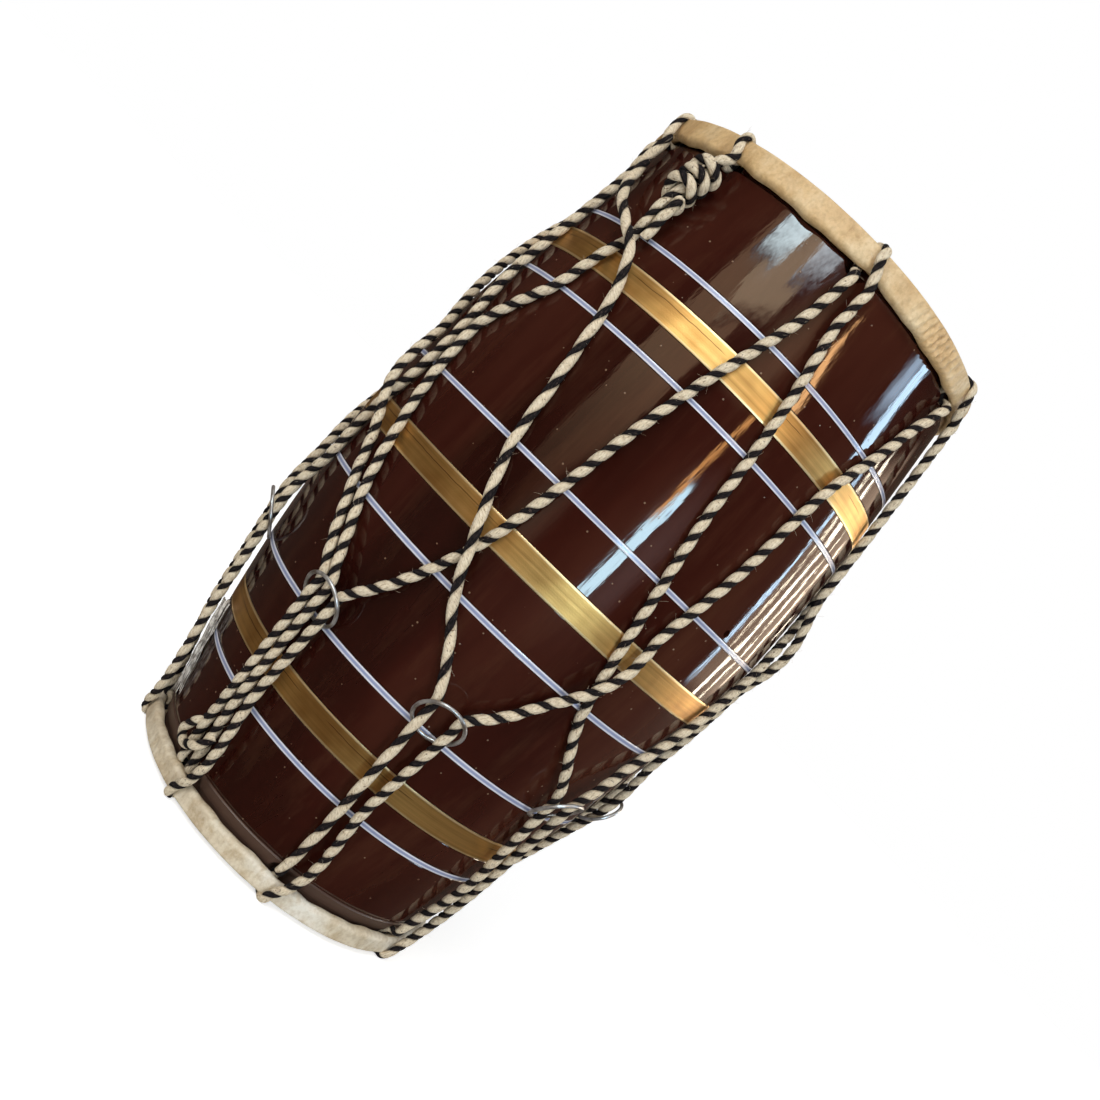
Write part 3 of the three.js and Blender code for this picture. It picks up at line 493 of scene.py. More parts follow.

# The white strips: narrow lavender-white plastic bent round the barrel and let in flush, with a
# painted highlight just inside both edges and painted shade along the edges, where they go down
# into the groove.
ivory, tree, shader = finish("lavender_white", roughness=0.22)
painted_edge_shade, shade, painted_edge_highlight, lavender = (colour(40, 30, 35), colour(60, 48, 54), colour(224, 224, 232),
                               colour(144, 154, 188))
# Painted light across the strip: painted shade at both edges, a painted highlight just inside each,
# and the strip's own lavender in the middle.
edge_light_and_shade = ramp(tree, uv_parts(tree)["Y"], [
    (0.0, painted_edge_shade), (0.13, shade), (0.2, painted_edge_highlight), (0.3, painted_edge_highlight), (0.42, lavender), (0.6, lavender),
    (0.72, painted_edge_highlight), (0.8, painted_edge_highlight), (0.87, shade), (1.0, painted_edge_shade)])
blotch = ramp(tree, noise(tree, object_place(tree), 40.0, 3.0), [(0.35, (0.86, 0.86, 0.88, 1)),
                                                                 (0.65, (1, 1, 1, 1))])
join(tree, shader, {"Base Color": mixed(tree, 1.0, edge_light_and_shade, blotch, "MULTIPLY")})
for name, low in white_strips.items():
    strip = turned(name.replace("white", "ivory"), strip_outline(low, white_widths[name], 7),
                   barrel_columns, "drum")
    strip.data.materials.append(ivory)
    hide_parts(name)

# The hoops: flat strips of cane bent round and lashed, each hidden in the lap of its skin, which
# holds it clear of the barrel's neck.
hoop_foot = 0.7


def hoop_outline(head):
    """A hoop's section inside its lap, as [radius, depth] rows."""
    outer = head.hoop_radius - head.skin - seat_gap
    inner = head.inner + head.skin + seat_gap
    low = head.skin + hoop_foot
    return np.array([[inner, low], [outer, low], [outer, head.lap_depth],
                     [head.middle, head.band_height - head.skin - seat_gap],
                     [inner, head.lap_depth]])


cane, tree, shader = finish("bare_cane", roughness=0.6)
grain = ramp(tree, noise(tree, object_place(tree), 20.0, 4.0, 0.6, (1, 1, 30)),
             [(0.3, colour(140, 108, 66)), (0.7, colour(178, 144, 96))])
join(tree, shader, {"Base Color": grain})
for node, outline in (("treble_hoop", hoop_outline(treble)),
                      ("bass_hoop", (hoop_outline(bass) * flipped + from_bass)[::-1])):
    hoop = turned(node.replace("hoop", "cane"), outline, 144, "drum")
    hoop.data.materials.append(cane)
    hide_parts(node)

# The tuning paste: a dark disc of clay and oil, spread by hand on the inner side of the bass skin
# and thinned out towards its edge.
paste_radius, paste_depth, paste_thinning = 52, 3.2, 2.4
paste_top = drum_length - bass.skin - seat_gap
spread = np.linspace(0, 1, 14)
paste_face = np.stack([paste_radius * spread,
                       paste_top - paste_depth + paste_thinning * spread**4], axis=1)
paste_back = [[paste_radius, paste_top], [paste_radius / 2, paste_top], [0, paste_top]]
disc = turned("dark_paste_disc", np.vstack([paste_face, paste_back]), 96, "drum")
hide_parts("bass_tuning_paste")
paste, tree, shader = finish("dark_paste", roughness=0.85)
lumps = noise(tree, object_place(tree), 90.0, 5.0, 0.65)
join(tree, shader, {
    "Base Color": ramp(tree, lumps, [(0.3, colour(30, 25, 21)), (0.7, colour(58, 49, 40))]),
    "Normal": bump(tree, lumps, 0.6, 0.001)})
disc.data.materials.append(paste)

# The lacing: one cotton rope, a thick cream strand and a thin black one laid together. It is
# tied at the bass hoop, winds twice round the drum in a zigzag and is tucked under the treble
# hoop.
end_hole = 684.3

# The rope's tables are given: the angle of the middle of each pair of runs at the top and
# at the bottom of its ring's travel, each run's points by share of the drum's length and angle,
# the pair that a run belongs to with its sides of it there, and which run crosses over which.
pair_angles = {"b2": (-27.8, -28.2), "b4": (47.5, 55.5), "b6": (156, 161), "b1": (291.5, 290.5),
               "b3": (369.3, 370.4), "b5": (451, 458.5), "b7": (584, 587)}
run_shares = {
    "a": [(0.93, -35.6), (0.89, -36.8), (0.852, -37.6), (0.818, -38.4), (0.785, -40.2),
          (0.73, -42.5), (0.69, -47.1), (0.641, -51.4), (0.598, -50.2), (0.546, -48.1),
          (0.493, -44.8), (0.465, -43.2), (0.404, -38.6), (0.374, -34.6)],
    "b2t3": [(0.943, 6.4), (0.88, 4.9), (0.754, -1), (0.652, -4.4), (0.572, -6.4), (0.47, -10.1),
             (0.376, -17.4)],
    "t3b4": [(0.9, 11.4), (0.817, 15), (0.759, 16.8), (0.652, 19.4), (0.554, 23.2),
             (0.452, 28.3), (0.4, 32.4)],
    "b4t5": [(0.943, 107.5), (0.826, 97.5), (0.622, 77.6), (0.391, 57.5)],
    "t5b6": [(0.943, 115), (0.728, 129), (0.435, 146.5)],
    "b6t7": [(0.943, 198), (0.728, 185), (0.435, 166)],
    "t7b1": [(0.943, 207), (0.728, 234), (0.522, 261), (0.391, 279.5)],
    "b1t1": [(0.943, 293.8), (0.87, 297.4), (0.77, 298.6), (0.724, 299), (0.689, 300.6),
             (0.639, 303.9), (0.567, 305), (0.5, 301.4), (0.422, 298.9), (0.37, 295.6)],
    "t1b3": [(0.93, 300.5), (0.9, 304.4), (0.867, 310.4), (0.838, 319.6), (0.822, 325),
             (0.806, 328.2), (0.761, 331.8), (0.654, 336.9), (0.563, 340.6), (0.476, 348.5),
             (0.409, 354.1), (0.36, 361.2)],
    "b3t4": [(0.943, 413), (0.859, 405.2), (0.774, 397.8), (0.646, 394.6), (0.541, 391),
             (0.476, 389.6), (0.37, 380.6)],
    "t4b5": [(0.943, 424), (0.728, 433), (0.622, 437.6), (0.435, 445)],
    "b5t6": [(0.943, 515.5), (0.728, 492), (0.435, 463.5)],
    "t6b7": [(0.943, 524), (0.728, 544), (0.435, 571)],
    "b7t0": [(0.943, 601), (0.728, 596), (0.435, 589.5)],
    "t0b2": [(0.943, 608.5), (0.826, 625), (0.713, 641.5), (0.624, 654.6), (0.574, 659.9),
             (0.528, 663.8), (0.485, 668.8), (0.452, 671.6), (0.415, 675.4), (0.378, 680.2),
             (0.345, 685.2)]}
run_ends = {"a": ("b2", -0.12, -0.5), "b2t3": ("b2", 1, 0.96), "t3b4": ("b4", -1, -1),
            "b4t5": ("b4", 1, 1), "t5b6": ("b6", -1, -1), "b6t7": ("b6", 1, 1),
            "t7b1": ("b1", -1, -1), "b1t1": ("b1", 1, 1), "t1b3": ("b3", -1, -1),
            "b3t4": ("b3", 1, 1), "t4b5": ("b5", -1, -1), "b5t6": ("b5", 1, 1),
            "t6b7": ("b7", -1, -1), "b7t0": ("b7", 1, 1), "t0b2": ("b2", -1, -1.77)}
crossings = [("t1b3", "a"), ("t1b3", "b2t3"), ("b3t4", "t3b4"), ("t4b5", "b4t5"),
             ("b5t6", "t5b6"), ("t6b7", "b6t7"), ("b7t0", "t7b1"), ("t0b2", "b1t1")]
rest_lift = 3.5
crossing_gap = 0.9
over_lift = rope_diameter + crossing_gap
dive_lift, dive_reach = 2.7, 20
ring_height, ring_radius, ring_wire, ring_tilt = 138.0, 14.4, 2.2, 26.0
ring_reach, ring_clear = 0.66, 0.6
pair_top, pair_bottom = ring_height + ring_radius * ring_reach, 81.5
pair_top_half, pair_bottom_half = 8.9, 5.2
pair_lift = ring_radius * np.sin(np.radians(ring_tilt)) + ring_wire / 2 + seat_gap + ring_clear
rest_from, leave_at, bump_reach = 188.0, 335.0, 42.0
treble_mouth, bass_mouth = 24.0, 26.0
run_step = 6


def pair_point(name, at_top):
    """Where a run passes the top or the bottom of its ring's travel, beside the pair's middle."""
    hole, side, low_side = run_ends[name]
    z = pair_top if at_top else pair_bottom
    across = side * pair_top_half if at_top else low_side * pair_bottom_half
    centre = polar(barrel_radius(z) + pair_lift, pair_angles[hole][0 if at_top else 1], z)
    return centre + across * polar(1.0, sum(pair_angles[hole]) / 2 + 90, 0)


def pair_span(name):
    """Points straight down a run's side of its pair, from below the top to the bottom."""
    share = np.linspace(0, 1, 8)[1:, None]
    return pair_point(name, True) * (1 - share) + pair_point(name, False) * share


def run_table(name):
    """A run's rows of height and angle from its pair of ropes up to the bass hoop."""
    rows = [(share * drum_length, angle) for share, angle in run_shares[name]]
    x, y, z = pair_point(name, True)
    angle = np.degrees(np.arctan2(x, -y))
    rows.append((z, angle + 360 * round((rows[-1][1] - angle) / 360)))
    return np.array(rows[::-1])


tables = {name: run_table(name) for name in run_shares}


def meeting(over, under):
    """The height where two runs cross: where the gap between their angles changes sign."""
    z = np.linspace(pair_top + rope_diameter, drum_length - bass_mouth, 4001)
    gap = short_way(smooth(tables[over], z), smooth(tables[under], z))
    turns = np.nonzero((np.sign(gap[1:]) != np.sign(gap[:-1])) & (np.abs(gap[1:]) < 90))[0]
    return z[turns[0]]


def ease(t):
    """A smooth step from 0 to 1."""
    u = np.clip(t, 0, 1)
    return u * u * (3 - 2 * u)


bumps = [(over, meeting(over, under)) for over, under in crossings]


def run_lift(name, z, outside):
    """How far a run's middle is from the barrel: at rest on it, raised towards its ring, drawn
    straight to the hoop's outside or raised to go in under it, and bowed over another run."""
    lift = rest_lift + (pair_lift - rest_lift) * ease((rest_from - z) / (rest_from - pair_top))
    if outside:
        start = barrel_radius(leave_at) + rest_lift
        t = (z - leave_at) / (drum_length - bass.band_height - leave_at)
        line = start + t * (bass.hoop_radius + rest_lift - start) - barrel_radius(z)
        lift = np.where(z > leave_at, np.maximum(lift, line), lift)
    else:
        lift += dive_lift * ease(1 - (drum_length - bass_mouth - z) / dive_reach)
    for over, at in bumps:
        if over == name:
            near = np.minimum(np.abs(z - at) / bump_reach, 1)
            lift += over_lift * (1 + np.cos(np.pi * near)) / 2
    return lift


def run_path(name, outside):
    """Points of a run, a step or so of height apart, from the bass end down."""
    top = drum_length - (bass.band_height if outside else bass_mouth)
    z = np.linspace(top, pair_top, int((top - pair_top) / run_step))
    return polar(barrel_radius(z) + run_lift(name, z, outside), smooth(tables[name], z), z)


rim_shares = np.array([[0, 0.36], [0.045, 0.12], [0.207, 0], [0.5, 0], [0.743, 0.0125],
                       [0.923, 0.154], [1, 0.36]])
rim_axis = 1.25
hole_slant = 0.45
cove_angle_shares = np.array([0.95, 0.6, 0.3, 0])
bass_cove_turn, treble_cove_turn = 0.6, 0.56


def over_rim(head, at_bass, hole):
    """Seven points over a hoop, from the channel to the outside, and how the hoop presses them:
    square to the line through the shares."""
    across, down = rim_shares.T
    angle = hole[0] + across * hole_slant * (hole[1] - hole[0])
    width = head.outside - head.channel_middle
    depth = down * head.band_height - rim_axis
    slope = np.gradient(rim_shares, axis=0) * (width, head.band_height)
    normal = polar(slope[:, 1], angle, slope[:, 0] if at_bass else -slope[:, 0])
    z = drum_length - depth if at_bass else depth
    points = polar(head.channel_middle + across * width, angle, z)
    return points, normal / np.linalg.norm(normal, axis=1, keepdims=True)


def under_hoop(head, at_bass, angle):
    """Points on an arc round the lapped hoop's inner edge, from the barrel to the channel."""
    a = np.pi * (1 - cove_angle_shares * (bass_cove_turn if at_bass else treble_cove_turn))
    radius = head.lap_radius + head.channel / 2
    depth = head.lap_depth + radius * np.sin(a)
    z = drum_length - depth if at_bass else depth
    points = polar(head.middle + radius * np.cos(a), angle, z)
    return points, polar(-np.cos(a), angle, np.sin(a) * (1 if at_bass else -1))


lay_length, loose_lay = 12.5, 22.0
route_points, route_press, route_lay = [], [], []


def lay_out(points, press=None, lay=lay_length):
    """Adds points to the rope's route, with how they are pressed, if they are, and the lay."""
    points = np.atleast_2d(points)
    route_points.append(points)
    route_press.append(np.zeros_like(points) if press is None else press)
    route_lay.append(np.full(len(points), lay))


def down_run(name, hole, start, lay=lay_length):
    """A run from outside the bass hoop down through its ring and in under the treble hoop."""
    lay_out(polar(bass.hoop_radius + rest_lift, start, drum_length - bass.band_height), lay=lay)
    lay_out(run_path(name, True)[1:], lay=lay)
    lay_out(pair_span(name), lay=lay)
    mouth_lift = rest_lift + rope_gap
    lay_out(polar(barrel_radius(treble_mouth) + mouth_lift, hole[0], treble_mouth), lay=lay)
    lay_out(*under_hoop(treble, False, hole[0]), lay=lay)


def up_run(name, start, hole):
    """A run from outside the treble hoop up through its ring and in under the bass hoop."""
    lay_out(polar(treble.hoop_radius + rest_lift, start, treble.band_height))
    lay_out(pair_span(name)[::-1])
    lay_out(run_path(name, False)[::-1])
    lay_out(*under_hoop(bass, True, hole[0]))


calm, noose_from, noose_to = 376.0, 409.0, 433.6
noose_turns, noose_bow, noose_points = 3.417, 4.6, 83
turn_radius = rope_diameter + crossing_gap + rope_gap
noose_lift = rope_diameter + crossing_gap + rest_lift + 2 * rope_gap
tail_from, tail_to, tail_step = 384.0, 407.0, 8.0
dive_height, dive_angle = 438.0, -38.8


def standing_lift(z):
    """The rope that the noose goes round rises off the barrel where the turns go under it."""
    return rest_lift + ease((z - calm) / (noose_from - calm)) * (noose_lift - rest_lift)


def beside_standing(place, a):
    """Points round the standing rope at a turn, bowed towards the hoop on their outer side."""
    z = place + noose_bow * np.sin(a)
    angle = smooth(tables["a"], z)
    return (polar(barrel_radius(z) + standing_lift(z), angle, z)
            + polar(turn_radius * np.cos(a), angle - 90, 0)
            + polar(turn_radius * np.sin(a), angle, 0))


def raised(points):
    """Points of the standing rope, moved out to its lift inside the noose."""
    z = points[:, 2]
    in_noose = (z > calm) & (z < drum_length - bass.band_height - 1)
    wanted = barrel_radius(z) + standing_lift(z)
    scale = np.where(in_noose, wanted / np.hypot(points[:, 0], points[:, 1]), 1.0)
    return points * np.stack([scale, scale, np.ones(len(points))], axis=1)


tail = np.arange(tail_from, tail_to, tail_step)
lay_out(beside_standing(tail, np.full(len(tail), np.pi)))
t = np.linspace(0, 1, noose_points)
lay_out(beside_standing(noose_from + t * (noose_to - noose_from),
                        np.pi * (1 + 2 * noose_turns * t)))
lay_out(polar(barrel_radius(dive_height) + rest_lift + dive_lift, dive_angle, dive_height))
lay_out(*under_hoop(bass, True, bass_holes["t2"][0]))
lay_out(*over_rim(bass, True, bass_holes["t2"]))
standing = len(route_points)
down_run("a", treble_holes["b2"], bass_holes["t2"][1])
route_points[standing:] = [raised(points) for points in route_points[standing:]]
lay_out(*over_rim(treble, False, treble_holes["b2"]))
for up, start, over, down, to in (
        ("b2t3", "b2", "t3", "t3b4", "b4"), ("b4t5", "b4", "t5", "t5b6", "b6"),
        ("b6t7", "b6", "t7", "t7b1", "b1"), ("b1t1", "b1", "t1", "t1b3", "b3"),
        ("b3t4", "b3", "t4", "t4b5", "b5"), ("b5t6", "b5", "t6", "t6b7", "b7")):
    up_run(up, treble_holes[start][1], bass_holes[over])
    lay_out(*over_rim(bass, True, bass_holes[over]))
    down_run(down, treble_holes[to], bass_holes[over][1],
             loose_lay if down == "t1b3" else lay_length)
    lay_out(*over_rim(treble, False, treble_holes[to]))
up_run("b7t0", treble_holes["b7"][1], bass_holes["t0"])
lay_out(*over_rim(bass, True, bass_holes["t0"]))
down_run("t0b2", (end_hole, end_hole), bass_holes["t0"][1])

rope_step = 0.9
least_chord = 0.3


def rounded_path(points, extra):
    """A Catmull-Rom curve with chord lengths as its spacing, sampled at the rope's step. Extra
    columns go along, in straight lines from point to point."""
    chord = np.linalg.norm(np.diff(points, axis=0), axis=1)
    keep = np.concatenate([[True], chord > least_chord])
    points, extra = points[keep], extra[keep]
    s = np.concatenate([[0], np.cumsum(np.linalg.norm(np.diff(points, axis=0), axis=1))])
    padded = np.vstack([2 * points[0] - points[1], points, 2 * points[-1] - points[-2]])
    places = np.concatenate([[2 * s[0] - s[1]], s, [2 * s[-1] - s[-2]]])
    wanted = np.linspace(0, s[-1], int(s[-1] / rope_step))
    i = np.clip(np.searchsorted(s, wanted) - 1, 0, len(s) - 2)
    before, here, there, after = (places[i + k][:, None] for k in range(4))
    a, b, c, d = (padded[i + k] for k in range(4))
    x = wanted[:, None]
    span = there - here
    left = ((b - a) / (here - before) * span + (c - b) / span * (here - before)) / (there - before)
    right = ((d - c) / (after - there) * span + (c - b) / span * (after - there)) / (after - here)
    t = (x - here) / span
    path = ((2 * t**3 - 3 * t**2 + 1) * b + (t**3 - 2 * t**2 + t) * span * left
            + (3 * t**2 - 2 * t**3) * c + (t**3 - t**2) * span * right)
    w = np.clip(t, 0, 1)
    return path, extra[i] * (1 - w) + extra[i + 1] * w


def carried_frames(path):
    """Two directions across the path at each point, turned from one to the next without twist."""
    along = np.gradient(path, axis=0)
    along /= np.linalg.norm(along, axis=1, keepdims=True)
    start = Vector(along[0]).orthogonal().normalized()

    def step(side, pair):
        turned_side = Vector(pair[0]).rotation_difference(Vector(pair[1])) @ side
        return (turned_side - turned_side.dot(Vector(pair[1])) * Vector(pair[1])).normalized()

    side = np.array(list(itertools.accumulate(zip(along[:-1], along[1:]), step, initial=start)))
    return along, side, np.cross(along, side)


def rope_line(points, extra):
    """A rope's middle line through points, with the frames carried along it, its turns of lay,
    and the way and the amount that it is pressed."""
    middle, extra = rounded_path(points, extra)
    along, side, other = carried_frames(middle)
    press = extra[:, None, :3]
    normal = press - (press * along[:, None]).sum(axis=2, keepdims=True) * along[:, None]
    normal /= np.maximum(np.linalg.norm(normal, axis=2, keepdims=True), 1e-6)
    return SimpleNamespace(middle=middle, along=along, side=side, other=other, normal=normal,
                           twist=np.cumsum(rope_step / extra[:, 4]), pressed=extra[:, None, 3:4])


press = np.vstack(route_press)
signs = np.cumprod(np.where((press[1:] * press[:-1]).sum(axis=1) < 0, -1, 1))
press[1:] *= signs[:, None]
pressed = np.linalg.norm(press, axis=1, keepdims=True) > 0.5
lacing = rope_line(np.vstack(route_points),
                   np.hstack([press, pressed, np.concatenate(route_lay)[:, None]]))
core_radius = 0.35


def strand(name, line, start, share, edge, crown, arc_sides):
    """One strand of the rope: an arc of its section, crowned by a power of a sine and closed near
    the rope's middle, turned along the path by the lay and flattened where a hoop presses it."""
    t = np.linspace(0, 1, arc_sides)
    turn = start + share * np.concatenate([t, [0.75, 0.25]])
    lobe = np.concatenate([edge + (crown - edge) * np.sin(np.pi * t) ** 0.5, [core_radius] * 2])
    a = 2 * np.pi * (turn[None, :] + line.twist[:, None])
    offset = np.cos(a)[..., None] * line.side[:, None] + np.sin(a)[..., None] * line.other[:, None]
    offset *= lobe[None, :, None]
    flat = (offset * line.normal).sum(axis=2, keepdims=True) * line.normal
    points = line.middle[:, None] + offset - flat * (1 - squeeze) * line.pressed
    points[..., 2] = np.maximum(points[..., 2], -stand_height)
    rows, sides = points.shape[:2]
    quads, row, column = grid_faces(rows, sides, False)
    faces = quads.tolist() + end_caps(rows, sides).tolist()
    uv = np.stack([column / (arc_sides - 1), row * rope_step / 100], axis=-1).reshape(-1, 2)
    uv = np.vstack([uv, np.zeros((2 * sides, 2))])
    return make_piece(name, points, faces, uv, "drum", 60.0)


fibre_slant = 12.5


def cotton(name, tones, speck):
    """Spun cotton: fibres that lie along the rope, with painted shade between them and along both
    edges of the strand where it meets the other, and specks of seed husk.
    """
    spun, tree, shader = finish(name, roughness=0.95, specular_ior_level=0.15)
    uv = uv_parts(tree)
    straight = calculated(tree, "MULTIPLY_ADD", uv["Y"], fibre_slant, uv["X"])
    strand_place = wire(tree, "ShaderNodeCombineXYZ", {"X": straight, "Y": uv["Y"]}).outputs[0]
    place = object_place(tree)
    fibre = noise(tree, strand_place, 1.0, 5.0, 0.7, (13, 38, 1))
    fuzz = noise(tree, place, 1100.0, 3.0, 0.65)
    # Partly the cotton's own tone, partly painted shade: the fibre pattern varies the tone, and its
    # darkest tone is painted shade between the fibres.
    tone = ramp(tree, fibre, [(at, colour(*tint)) for at, tint in zip((0.3, 0.46, 0.66), tones)])
    is_speck = mask(tree, noise(tree, place, 560.0, 2.0, 0.5),
                    [(0.0, 0), (0.64, 0), (0.72, 0.75), (1.0, 1)])
    # Painted shade: the strand is darkened along both its edges, in the crevice where it meets the
    # other strand.
    dark = (0.45, 0.42, 0.4, 1)
    painted_crevice_shade = ramp(tree, uv["X"], [(0.0, dark), (0.14, (1, 1, 1, 1)), (0.86, (1, 1, 1, 1)),
                                  (1.0, dark)])
    specked = mixed(tree, is_speck, tone, colour(*speck))
    join(tree, shader, {"Base Color": mixed(tree, 1.0, specked, painted_crevice_shade, "MULTIPLY"),
                        "Normal": bump(tree, fuzz, 0.6, 0.0005, bump(tree, fibre, 0.9, 0.0008))})
    return spun


cream_share = 0.65
cream_cotton = cotton("cream_cotton", ((158, 132, 100), (226, 208, 178), (250, 238, 214)),
                      (118, 88, 62))
black_cotton = cotton("black_cotton", ((8, 7, 9), (20, 17, 19), (62, 52, 50)), (96, 78, 70))
rope = strand("cream_strand", lacing, 0.0, cream_share, edge=2.3, crown=3.08, arc_sides=9)
rope.data.materials.append(cream_cotton)
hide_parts("lacing_rope")
black_strand = strand("black_strand", lacing, cream_share, 1 - cream_share,
                      edge=2.15, crown=2.86, arc_sides=6)
black_strand.data.materials.append(black_cotton)

# The hitch: the rope's own end, curled out from beside the last run where it comes down to the
# treble hoop and laid back over the runs there. It is listed by height, angle and lift.
hitch_rows = np.array([(44.0, -36.2, 3.6), (40.8, -36.4, 4.4), (37.1, -37.4, 6.3),
                       (32.0, -39.2, 6.9), (26.8, -40.4, 6.3), (22.9, -39.4, 6.0),
                       (24.1, -35.8, 8.6), (28.2, -31.9, 10.6), (32.5, -29.8, 11.2),
                       (36.7, -29.0, 9.0), (39.5, -28.9, 5.8)])
hitch_z, hitch_angle, hitch_lift = hitch_rows.T
unpressed = np.tile([0.0, 0.0, 0.0, 0.0, lay_length], (len(hitch_rows), 1))
hitch = rope_line(polar(barrel_radius(hitch_z) + hitch_lift, hitch_angle, hitch_z), unpressed)
curl_turn = 0.1
hitch_cream = strand("hitch_cream_strand", hitch, curl_turn, cream_share,
                     edge=2.1, crown=2.85, arc_sides=12)
hitch_cream.data.materials.append(cream_cotton)
hitch_black = strand("hitch_black_strand", hitch, curl_turn + cream_share, 1 - cream_share,
                     edge=1.95, crown=2.6, arc_sides=9)
hitch_black.data.materials.append(black_cotton)

# Loose cotton: short hairs that stand off the worn rope, but for where the rings rub them off,
# and a bundle of grey yarns, frayed out of it, that hangs beside the first pair of runs.


def threads(name, paths, thickness, sides, tones):
    """Thin closed tubes, one along each of many paths of the same number of points."""
    count, rows = paths.shape[:2]
    way = np.gradient(paths, axis=1)
    way /= np.linalg.norm(way, axis=2, keepdims=True)
    u = np.cross(way, np.array([0.31, 0.52, 0.79]))
    u /= np.linalg.norm(u, axis=2, keepdims=True)
    v = np.cross(way, u)
    a = np.arange(sides) * 2 * np.pi / sides
    taper = np.linspace(1, 0.5, rows)[None, :, None, None] * thickness / 2
    around = np.cos(a)[:, None] * u[:, :, None] + np.sin(a)[:, None] * v[:, :, None]
    first = (np.arange(count) * rows * sides)[:, None, None]
    faces = (grid_faces(rows, sides, False)[0] + first).reshape(-1, 4).tolist()
    faces += (end_caps(rows, sides) + first).reshape(-1, sides).tolist()
    corners = sum(len(face) for face in faces)
    piece = make_piece(name, paths[:, :, None] + taper * around, faces, np.zeros((corners, 2)),
                       "drum", 80.0)
    thread, tree, shader = finish(name, roughness=0.9, specular_ior_level=0.15)
    tone = ramp(tree, noise(tree, object_place(tree), 300.0),
                [(0.4, colour(*tones[0])), (0.6, colour(*tones[1]))])
    join(tree, shader, {"Base Color": tone})
    piece.data.materials.append(thread)


chance = np.random.default_rng(7)
hair_count, hair_thickness, rub_clear, ends_clear, floor_clear = 3200, 0.13, 12, 20, 0.1
hair_root, hair_curve, hair_slope, hair_rise = 2.2, 0.55, 0.45, 0.5
hair_scatter, hair_lie, shortest_hair, hair_spread = 0.5, 0.9, 1.0, 1.7
rubbed = (lacing.middle[:, 2] > pair_bottom) & (lacing.middle[:, 2] < pair_top + rub_clear)
root = chance.choice(np.flatnonzero(~rubbed)[ends_clear:-ends_clear], hair_count)
around = 2 * np.pi * chance.random((hair_count, 1))
outward = np.cos(around) * lacing.side[root] + np.sin(around) * lacing.other[root]
lean = (chance.normal(size=(hair_count, 3)) * hair_scatter
        + lacing.along[root] * chance.choice([-1.0, 1.0], (hair_count, 1)) * hair_lie)
t = np.linspace(0, 1, 4)[None, :, None]
length = shortest_hair + hair_spread * chance.random((hair_count, 1, 1))
leaning = t * (hair_slope * outward + lean)[:, None]
bowed = hair_curve * t * (1 - t) * outward[:, None]
hairs = (lacing.middle[root] + hair_root * outward)[:, None] + length * (leaning + bowed)
hairs += hair_rise * outward[:, None] * t
hairs[..., 2] = np.maximum(hairs[..., 2], floor_clear - stand_height)
threads("rope_hairs", hairs, hair_thickness, 3, ((150, 130, 104), (226, 212, 190)))

yarn_count, yarn_thickness, yarn_top, yarn_angle, yarn_fan = 20, 0.75, 84, -66.0, 7.0
yarn_length, yarn_uneven, yarn_gap, bundle_depth, bundle_taper = 54, 7, 0.9, 4.6, 2.6
t = np.linspace(0, 1, 22)
spread = chance.random((yarn_count, 5, 1))
yarn_z = yarn_top - (yarn_length + yarn_uneven * spread[:, 0]) * t
yarn_place = yarn_angle + yarn_fan * spread[:, 1] * (0.3 + 0.7 * t)
yarn_place += 0.6 * np.sin(7 * t + 6 * spread[:, 2])
yarn_lift = yarn_gap + (bundle_depth - bundle_taper * t) * spread[:, 3]
yarn_lift += 0.5 * np.sin(9 * t + 6 * spread[:, 4]) ** 2
yarns = polar(barrel_radius(yarn_z) + yarn_lift, yarn_place, yarn_z)
threads("frayed_yarns", yarns, yarn_thickness, 5, ((150, 142, 134), (228, 222, 214)))

# The skins: goat skin, soaked, lapped round the hoop and dried tight, so that its band is
# creased and its hem is uneven. The rope goes through slots near the rim and dents it there.
rim_round, rim_rows, band_top = 1.6, 6, 2.6
dent_width, patch_angle, patch_width = 4.2, 36, 11.0


def skin_outline(head):
    """A lapped skin's section, as [radius, depth] rows: out over the head, down the band, round
    the hoop, and back a skin's thickness further in."""
    a = np.linspace(0, np.pi / 2, rim_rows)
    rim = np.stack([head.hoop_radius - rim_round * (1 - np.sin(a)),
                    rim_round * (1 - np.cos(a))], axis=1)
    band_depth = np.linspace(band_top, head.lap_depth, rim_rows)
    lap = np.linspace(0, np.pi, 13)[1:]
    inner_lap = lap[::-1][1:]
    inner_radius = head.lap_radius - head.skin
    return np.vstack([
        [[0, 0], [2.0, 0]], [[head.hoop_radius * share, 0] for share in (0.35, 0.7, 0.9)],
        rim, np.stack([np.full(rim_rows, head.hoop_radius), band_depth], axis=1),
        np.stack([head.middle + head.lap_radius * np.cos(lap),
                  head.lap_depth + head.lap_radius * np.sin(lap)], axis=1),
        [[head.inner, head.skin + rim_round], [head.inner + head.skin, head.skin + rim_round]],
        np.stack([head.middle + inner_radius * np.cos(inner_lap),
                  head.lap_depth + inner_radius * np.sin(inner_lap)], axis=1),
        [[head.hoop_radius - head.skin, head.lap_depth], [head.hoop_radius - head.skin, head.skin],
         [head.hoop_radius * 0.6, head.skin], [2.0, head.skin], [0, head.skin]]])


